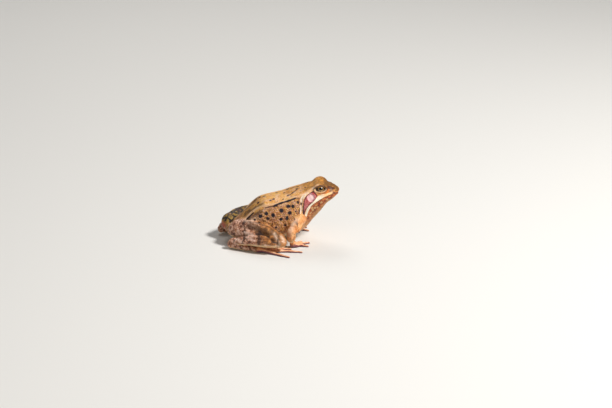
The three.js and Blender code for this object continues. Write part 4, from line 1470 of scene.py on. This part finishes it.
def skinFinish():
    look = skinLook
    made = Finish("frogSkin")
    read, mix = made.read, made.mix
    broad = made.noise(9.0, 2.0)
    mid = made.noise(2.6)
    fine = made.noise(0.7)
    other = made.noise(3.4, vector=made.shifted(31.0, 7.0, 12.0))
    blotch = made.noise(1.5, 2.0, vector=made.shifted(9.0, 4.0, 2.0))
    wobble = (made.noise(1.1, 2.0) - 0.5) * 0.9 + (fine - 0.5) * 0.4
    patchy = (other - 0.5) * 1.6 + (mid - 0.5) * 1.0

    def tones(name, value=None):
        # The colours of one part, spread by noise or by the value given
        weights, stops = skinTones[name]
        if value is None:
            terms = [noise * weight for noise, weight in zip((broad, mid, fine), weights) if weight]
            value = sum(terms[1:], terms[0])
        return made.ramp(value, list(zip(stops, look[name])))

    def within(name, noise=mid):
        # 1 inside a mark and 0 outside it, with an uneven edge
        uneven, wander, start, full, strength = skinEdges[name]
        at = read(name) + wobble * wander
        if uneven:
            at = at + (noise - 0.5) * uneven
        return at.step(start, full) * strength

    def lay(shade, share):
        # Lays a colour over what is there
        nonlocal base
        base = mix(base, shade, share)

    # Back, the darker rump, which is partly painted shade, and the granules of the flank
    base = mix(tones("back"), look["backPink"], (other + (fine - 0.5) * 0.4).step(0.5, 0.66) * 0.62)
    # The rump's darker olive tone, laid towards the rear, is partly painted shade
    lay(tones("rump"), read("rump") * (other * 0.8 + 0.5))
    bumps = made.cells(0.72, made.warped(0.8, 0.5))
    bump = made.number(bumps["Distance"])
    granule = tones("granules", made.channel(bumps["Color"], 0) * 0.55 + other * 0.45)
    granule = mix(granule, look["backPink"], (other + (mid - 0.5) * 0.6).step(0.5, 0.64) * 0.5)
    granule = mix(granule, look["rump"][0], (broad * 0.4 + mid * 0.6).step(0.47, 0.38) * 0.55)
    granule = mix(granule, look["granuleGap"], bump.step(0.32, 0.6) * (0.3 + fine * 0.9))
    lay(granule, read("flank") * 0.9)
    lay(look["granuleGap"], bump.step(0.45, 0.7) * (1 - read("flank")) * 0.3)

    # Limbs, with the net of the thigh's rear, their patches and bars, painted shade and painted highlights
    lay(tones("arm"), read("fore"))
    lay(tones("leg"), read("hind"))
    lay(tones("mottle", blotch * 0.55 + mid * 0.2 + fine * 0.25), read("mottle") * 0.85)
    net = made.cells(4.2, made.warped(2.0, 2.2), "DISTANCE_TO_EDGE")
    netLineAndShade = (made.number(net["Distance"]) + wobble * 0.2).step(0.17, 0.09)
    netted = (read("net") + wobble * 0.3) * read("top").step(0.2, 0.7)
    lay(tones("netGround"), netted.step(0.1, 0.7) * 0.85)
    lay(look["netLineAndShade"], netted.step(0.3, 0.7) * netLineAndShade * 0.95)
    lay(look["vent"], within("vent"))
    # Painted shade in the hollows of the rump and where the thigh meets the trunk
    lay(look["dusk"], within("dusk"))
    lay(look["bar"], within("bars"))
    lay(look["bar"], within("purple", other))
    # Pale patches, partly the legs' own mottling and partly painted highlights
    lay(look["blush"], within("blush", blotch))
    # Painted highlights along folds, the knee and the lit side of the arm
    lay(look["light"], read("light") * (0.35 + mid * 0.8) * 0.9 * (1 - netted.step(0.0, 0.4)))
    # Painted shade: the near-black laid in the furrow over the knee
    lay(look["netLineAndShade"], within("furrow"))

    # Head and jaw
    upper = mix(look["temple"], look["orange"], (other + broad * 0.3).step(0.45, 0.75))
    upper = mix(upper, tones("crown"), (read("crown") + patchy * 0.5).step(0.15, 0.8))
    # A pale patch over the rear of the lid and the temple, partly a painted highlight
    templeAt = read("temple") + (other - 0.5) * 0.9 + wobble * 0.3
    upper = mix(upper, look["temple"], templeAt.step(0.25, 0.95) * 0.75)
    snoutAt = read("snout").step(0.1, 0.9) * (1 - read("crown").step(0.3, 0.9) * 0.75)
    upper = mix(upper, tones("snout"), snoutAt)
    lay(upper, (read("head") + patchy * (1.1 - read("head"))).step(0.15, 0.9) * 0.95)
    jaw = mix(tones("jaw"), look["jawTop"], read("mouth").step(3.2, 0.6) * (other + 0.1) * 0.5)
    throat = mix(look["throat"], look["belly"][0], (blotch * 0.6 + fine * 0.4).step(0.4, 0.66) * 0.3)
    lay(mix(jaw, throat, read("under").step(0.3, 0.8) * 0.85), read("jaw"))
    lay(look["jawSpot"], within("jawSpots") * read("jaw"))

    # Belly, toes, and painted shade on the sides and undersides of the toes and fingers
    lay(tones("belly"), read("under").step(0.3, 0.95) * (1 - read("jaw")) * 0.9)
    toeAt = read("top") + (mid - 0.5) * 0.7 + (fine - 0.5) * 0.5
    # Painted shade: the sides and undersides of the toes and fingers purple brown, their tops lighter
    lay(mix(look["toeShade"], tones("toe"), toeAt.step(0.08, 0.85)), read("digits") * 0.9)
    lay(look["knuckle"], read("knuckle") * read("top").step(0.4, 0.9) * 0.6)

    # Pale folds with a painted highlight on their ridges, the mask behind the eye, and the eardrum in it
    # Pale along the back folds: their own paler tone, and a painted highlight on the ridge
    lay(look["peach"], within("pale"))
    band = mix(look["behind"], look["temple"], (blotch * 0.5 + fine * 0.5).step(0.45, 0.6) * 0.7)
    lay(band, within("behind"))
    cheekAt = read("cheek") + wobble * 0.4
    cheek = tones("cheek", read("cheekHigh") + (mid - 0.5) * 0.5)
    cheek = mix(cheek, look["cheekInner"], (other * 0.5 + fine * 0.6).step(0.5, 0.64) * 0.6)
    cheek = mix(cheek, look["cheekEdge"], (cheekAt + (mid - 0.5) * 1.2).step(-1.0, -0.3) * 0.9)
    cheek = mix(cheek, look["cheekEdge"], within("cheekRear"))
    lay(cheek, cheekAt.step(0.14, -0.14))
    # The eardrum's pinkish tones, pale in its middle, which is partly a painted sheen
    drum = tones("drum", read("ear") / 4.4 + (fine - 0.5) * 0.6 + (blotch - 0.5) * 1.1)
    drumAt = (read("ear") + wobble * 0.6 + (other - 0.5) * 1.6).step(3.4, 2.4)
    lay(drum, drumAt * cheekAt.step(-0.2, -0.7))

    # The stripe over the lip, the snout, nostrils, mouth and lids, with painted shade in the nostrils, the
    # mouth's groove, the groove round the lids and under the brow
    stripe = mix(look["lip"], look["cream"], (read("stripeAlong") + (fine - 0.5) * 0.2).step(0.1, 0.34))
    stripe = mix(stripe, look["peach"], (blotch * 0.5 + fine * 0.5).step(0.47, 0.62) * 0.6)
    lay(stripe, within("lipStripe"))
    topAt = (read("snout") * read("crown") + patchy * 1.2).step(0.25, 1.0) * read("snout").step(0.0, 0.3)
    lay(look["snoutTop"], topAt * (mid * 0.9 + 0.35) * 0.9)
    lay(look["snoutDark"], within("snoutStripe"))
    # Painted shade: the nostrils' pits near-black
    lay(look["netLineAndShade"], within("nostril"))
    # Painted shade along the mouth's groove
    lay(look["creaseShade"], read("mouth").step(0.42, 0.12) * 0.75)
    lidAt, lidSide = read("lids"), read("lidHigh").step(0.7, -0.3)
    margin = (lidAt + wobble * 0.5 - (1 - lidSide) * 0.6 - 0.55).step(0.22, -0.22)
    # The lids' margins: painted shade along the upper one under the brow, and the lower one pale
    lay(mix(look["lidUpperShade"], look["lidLower"], lidSide), margin * 0.85)
    # Painted shade in the groove round the lids
    lay(look["creaseShade"], (lidAt + wobble * 0.3).step(1.5, 1.15) * lidAt.step(0.8, 1.1) * 0.6)

    # Black spots and the small specks
    spotAt = read("spots") + wobble * 0.5
    lay(look["spotEdge"], spotAt.step(0.4, 0.05) * 0.6)
    lay(look["spot"], spotAt.step(0.14, -0.14))
    scatter = marks["specks"]
    specks = made.cells(scatter["spacing"], made.shifted(3.0, 1.0, 5.0))
    chosen = made.channel(specks["Color"], 1)
    speck = (made.number(specks["Distance"]) - chosen * scatter["radius"] + wobble * 0.06).step(0.03, -0.03)
    speck = speck * chosen.step(1 - scatter["share"], 1.02 - scatter["share"])
    speck = speck * (1 - read("jaw")) * (1 - read("digits")) * read("cheek").step(0.0, 0.6)
    lay(look["spotEdge"], speck * 0.85)

    # Granules, pores and the wrinkles at the joints
    calm = 1 - read("head") * 0.65
    grain = (1 - bump.step(0.12, 0.7)) * (read("flank") * 0.7 + 0.35) * calm
    pores = 1 - made.number(made.cells(0.4, made.warped(0.6, 0.25))["Distance"]).step(0.15, 0.65)
    lines = made.noise(1.0, 2.0, vector=made.combined(read("along") * 1.3, read("around") * 0.22))
    wrinkles = lines.step(0.42, 0.58) * read("joint").step(0.1, 0.9)
    height = grain + pores * 0.35 * calm + fine * 0.4 + wrinkles * 0.8
    height = height * (1 - read("digits") * 0.5) * (read("ear").step(2.2, 3.4) * 0.7 + 0.3)
    height = height * (read("lipStripe").make("MINIMUM", read("behind")).step(-0.3, 0.5) * 0.6 + 0.4)
    rough = (fine - 0.5) * 0.3 + look["roughness"] + bump.step(0.4, 0.7) * 0.12
    return made.close(
        {
            "Base Color": base,
            "Roughness": rough + read("head") * 0.14,
            "Normal": made.bump(0.8, 0.00042, height),
            "Coat Weight": (1 - read("head") * 0.7) * look["coat"],
            "Coat Roughness": 0.24,
            "Subsurface Weight": 0.08,
            "Subsurface Radius": (1.0, 0.4, 0.25),
            "Subsurface Scale": 0.0012,
            "IOR": 1.4,
        }
    )


skinMaterial = skinFinish()

# Warts and soft unevenness raised on the skin, in millimetres
relief = {"Wart spacing": 2.1, "Wart height": 0.3, "Wave length": 4.5, "Wave height": 0.35, "Seed": 3.0}


def reliefTree():
    tree = bpy.data.node_groups.new("skinRelief", "GeometryNodeTree")
    tree.interface.new_socket("Geometry", in_out="INPUT", socket_type="NodeSocketGeometry")
    for name in relief:
        tree.interface.new_socket(name, in_out="INPUT", socket_type="NodeSocketFloat")
    tree.interface.new_socket("Skin", in_out="INPUT", socket_type="NodeSocketMaterial")
    tree.interface.new_socket("Geometry", in_out="OUTPUT", socket_type="NodeSocketGeometry")

    made = Nodes(tree)
    given = made.node("NodeGroupInput").outputs
    sizes = {name: made.number(given[name]) for name in relief}
    place = made.vector("SCALE", made.node("GeometryNodeInputPosition").outputs[0], 1000.0)
    inputs = {"Vector": made.vector("ADD", place, given["Seed"]), "Scale": 1 / sizes["Wart spacing"]}
    warts = made.node("ShaderNodeTexVoronoi", None, inputs).outputs
    chance = made.number(made.node("ShaderNodeSeparateXYZ", None, {0: warts["Color"]}).outputs[0])
    dome = made.number(warts["Distance"]).step(0.42, 0.05) * chance.make("POWER", 1.6)
    inputs = {"Vector": place, "W": given["Seed"], "Scale": 1 / sizes["Wave length"], "Detail": 2.0}
    wave = made.number(made.node("ShaderNodeTexNoise", {"noise_dimensions": "4D"}, inputs).outputs[0])
    named = made.node("GeometryNodeInputNamedAttribute", {"data_type": "FLOAT"}, {"Name": "warts"})
    share = made.number(named.outputs[0])
    raised = dome * sizes["Wart height"] * share
    waved = (wave - 0.5) * sizes["Wave height"] * (share * 0.8 + 0.2)
    offset = made.vector("SCALE", made.node("GeometryNodeInputNormal").outputs[0], (raised + waved) * 0.001)
    inputs = {"Geometry": given["Geometry"], "Offset": offset}
    raisedSkin = made.node("GeometryNodeSetPosition", None, inputs).outputs[0]
    real = made.node("GeometryNodeRealizeInstances", None, {"Geometry": raisedSkin}).outputs[0]
    done = made.node("GeometryNodeSetMaterial", None, {"Geometry": real, "Material": given["Skin"]})
    made.node("NodeGroupOutput", None, {"Geometry": done.outputs[0]})
    return tree


def withRelief(piece):
    tree = reliefTree()
    modifier = piece.modifiers.new("skinRelief", "NODES")
    modifier.node_group = tree
    settings = {**relief, "Skin": skinMaterial}
    for item in tree.interface.items_tree:
        if item.in_out == "INPUT" and item.name in settings:
            modifier[item.identifier] = settings[item.name]
    graph = bpy.context.evaluated_depsgraph_get()
    evaluated = piece.evaluated_get(graph)
    mesh = bpy.data.meshes.new_from_object(evaluated, preserve_all_data_layers=True, depsgraph=graph)
    piece.modifiers.remove(modifier)
    old = piece.data
    piece.data = mesh
    bpy.data.meshes.remove(old)
    mesh.name = piece.name
    return piece


skin = withRelief(newMesh("skin", toFrame(places), quads, values))
flat = np.zeros(len(skin.data.vertices) * 3, np.float32)
skin.data.vertices.foreach_get("co", flat)
flat[2::3] = np.maximum(flat[2::3], 0)  # the relief doesn't go below the floor
skin.data.vertices.foreach_set("co", flat)
skin.data.update()
fleshNodes = [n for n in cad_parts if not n.startswith("eye_")]
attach(skin, "root")
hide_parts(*fleshNodes)
print("skin raised")

eyeLook = {
    "pupil": colour(8, 8, 16),
    "band": colour(60, 32, 18),
    "gold": colour(198, 142, 52),
    "bronze": colour(96, 60, 26),
    "lower": colour(184, 156, 108),
    "rim": colour(34, 20, 14),
    "roughness": 0.25,
    "cornea": (0.14, 0.6),  # how far the front of the ball bulges, and over what angle
    "rings": 56,
    "spokes": 72,
}


def eyeFinish():
    look = eyeLook
    made = Finish("frogEye")
    across, height = made.read("across"), made.read("height")
    wide, tall = eye["pupil"]
    far = (across * across + height * height).make("SQRT")
    spokes = made.combined(height.make("ARCTAN2", across) * 5.0, far * 0.8, far * 0.2)
    fibres = made.noise(1.0, 4.0, 0.7, spokes)
    flecks = made.noise(0.22, 2.0)
    upper = made.mix(look["gold"], look["bronze"], (fibres + (flecks - 0.5) * 0.8).step(0.42, 0.72))
    veins = made.cells(0.5, made.warped(0.5, 0.4), "DISTANCE_TO_EDGE")
    lower = made.mix(look["lower"], look["bronze"], (fibres + (flecks - 0.5) * 0.9).step(0.42, 0.6))
    lower = made.mix(lower, look["band"], made.number(veins["Distance"]).step(0.14, 0.04) * 0.7)
    iris = made.mix(lower, upper, height.step(-0.6, 0.5))
    band = (height + 0.1).make("ABSOLUTE") + (fibres - 0.5) * 0.8
    iris = made.mix(iris, look["band"], band.step(1.25, 0.5) * far.step(1.0, 1.8) * 0.96)
    iris = made.mix(iris, look["rim"], across.make("ABSOLUTE").step(1.8, 2.5) * 0.9)
    # Painted shade: the top of the iris darkened as under the brow
    iris = made.mix(iris, look["rim"], height.step(0.75, 1.25) * 0.8)
    iris = made.mix(iris, look["rim"], (far + (fibres - 0.5) * 0.4).step(2.9, 3.35))
    inner = across * across / (wide * wide) + height * height / (tall * tall)
    ring = inner.make("SQRT") + (fibres - 0.5) * 0.06  # 1 at the edge of the pupil
    iris = made.mix(iris, look["gold"], ring.step(1.3, 1.14) * (0.45 + height.step(0.3, -0.5) * 0.4))
    return made.close(
        {
            "Base Color": made.mix(iris, look["pupil"], ring.step(1.06, 0.98)),
            "Roughness": look["roughness"],
            "Normal": made.bump(0.25, 0.0001, fibres),
            "Specular IOR Level": 0.1,
            "Coat Weight": 0.9,
            "Coat Roughness": 0.03,
            "Coat IOR": 1.5,
        }
    )


eyeMaterial = eyeFinish()


def buildEye(side):
    # A ball of rings and spokes round the line of sight, closed by a point in front and behind
    gaze, level, rise = eyeAxes(side)
    rings, spokes = eyeLook["rings"], eyeLook["spokes"]
    polar = np.linspace(0, math.pi, rings + 1)[1:-1]
    turn = np.arange(spokes) / spokes * 2 * math.pi
    p, t = (g.ravel() for g in np.meshgrid(polar, turn, indexing="ij"))
    p, t = np.concatenate([[0], p, [math.pi]]), np.concatenate([[0], t, [0]])
    height, width = eyeLook["cornea"]
    out = np.outer(np.sin(p) * np.cos(t), level) + np.outer(np.sin(p) * np.sin(t), rise)
    out = out + np.outer(np.cos(p), gaze)
    vertices = mirrored(eye["middle"], side) + out * (eye["radius"] + height * bell(p, width))[:, None]
    last = len(vertices) - 1
    faces = []
    for s in range(spokes):
        after = (s + 1) % spokes
        for r in range(rings - 2):
            a, b = 1 + r * spokes + s, 1 + r * spokes + after
            faces.append((a, b, b + spokes, a + spokes))
        faces.append((0, 1 + after, 1 + s, 1 + s))
        faces.append((last, last - spokes + s, last - spokes + after, last - spokes + after))
    faces = np.array(faces)
    if np.dot(np.cross(level, rise), gaze) > 0:
        faces = faces[:, ::-1]
    arc = p * eye["radius"]
    attributes = {"across": arc * np.cos(t), "height": arc * np.sin(t)}
    name = "eyeRight" if side == right else "eyeLeft"
    return newMesh(name, toFrame(vertices), faces, attributes, eyeMaterial)


for side in (right, left):
    ball = buildEye(side)
    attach(ball, "root")
    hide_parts("eye_right" if side == right else "eye_left")
print("eyes set")

studio = {
    "floor": colour(224, 221, 215),
    "floorRoughness": 0.85,
    "floorSize": 12.0,
    "floorDrop": 0.00002,  # keeps the floor just clear of the feet
    "sky": colour(226, 227, 230),
    "skyStrength": 0.15,
    # Place, size and power of each soft light
    "lights": [
        ((0.7, -0.44, 1.0), 0.24, 19.5),
        ((-0.8, -0.85, 0.5), 0.9, 1.5),
        ((-0.1, 0.9, 0.9), 0.6, 3.8),
    ],
    "aim": (0.005, 0.0, 0.018),
}

floorLook = {"Base Color": studio["floor"], "Roughness": studio["floorRoughness"]}
floorMaterial = Finish("paleFloor").close(floorLook)
size, drop = studio["floorSize"] / 2, studio["floorDrop"]
corners = [(x * size, y * size, -drop) for x, y in ((-1, -1), (1, -1), (1, 1), (-1, 1))]
newMesh("floor", corners, [(0, 1, 2, 3)], material=floorMaterial)

world = bpy.data.worlds.new("studioSky")
world.use_nodes = True
world.node_tree.nodes["Background"].inputs["Color"].default_value = studio["sky"]
world.node_tree.nodes["Background"].inputs["Strength"].default_value = studio["skyStrength"]
bpy.context.scene.world = world
for i, (place, size, power) in enumerate(studio["lights"]):
    data = bpy.data.lights.new("softLight" + str(i), "AREA")
    data.shape = "DISK"
    data.size = size
    data.energy = power
    lamp = bpy.data.objects.new(data.name, data)
    lamp.location = place
    lamp.rotation_euler = (Vector(studio["aim"]) - Vector(place)).to_track_quat("-Z", "Y").to_euler()
    bpy.context.scene.collection.objects.link(lamp)

view = {
    "azimuth": math.radians(8),
    "elevation": math.radians(19),
    "distance": 1.111,
    "lens": 100,
    "sensor": 36,
    "pixelsPerMetre": 1530,
    "frame": (612, 408),
    "fix": ((35.0, 0.0, 18.0), (279.7, 212.5)),  # a point of the frog, and where it stands in the frame
}
a, e = view["azimuth"], view["elevation"]
looking = Vector((math.sin(a) * math.cos(e), math.cos(a) * math.cos(e), -math.sin(e)))
rightward = Vector((math.cos(a), -math.sin(a), 0))
upward = rightward.cross(looking)
(point, (px, py)), (wide, tall) = view["fix"], view["frame"]
aim = Vector([(p + s) / 1000 for p, s in zip(point, (originShift[0], 0, 0))])
aim -= rightward * (px - wide / 2) / view["pixelsPerMetre"]
aim -= upward * (tall / 2 - py) / view["pixelsPerMetre"]
camera = bpy.data.objects.new("camera", bpy.data.cameras.new("camera"))
camera.data.lens = view["lens"]
camera.data.sensor_width = view["sensor"]
camera.location = aim - looking * view["distance"]
camera.rotation_euler = Matrix((rightward, upward, -looking)).transposed().to_euler()
bpy.context.scene.collection.objects.link(camera)
bpy.context.scene.camera = camera
bpy.context.scene.view_settings.view_transform = "Standard"

print("frog done")
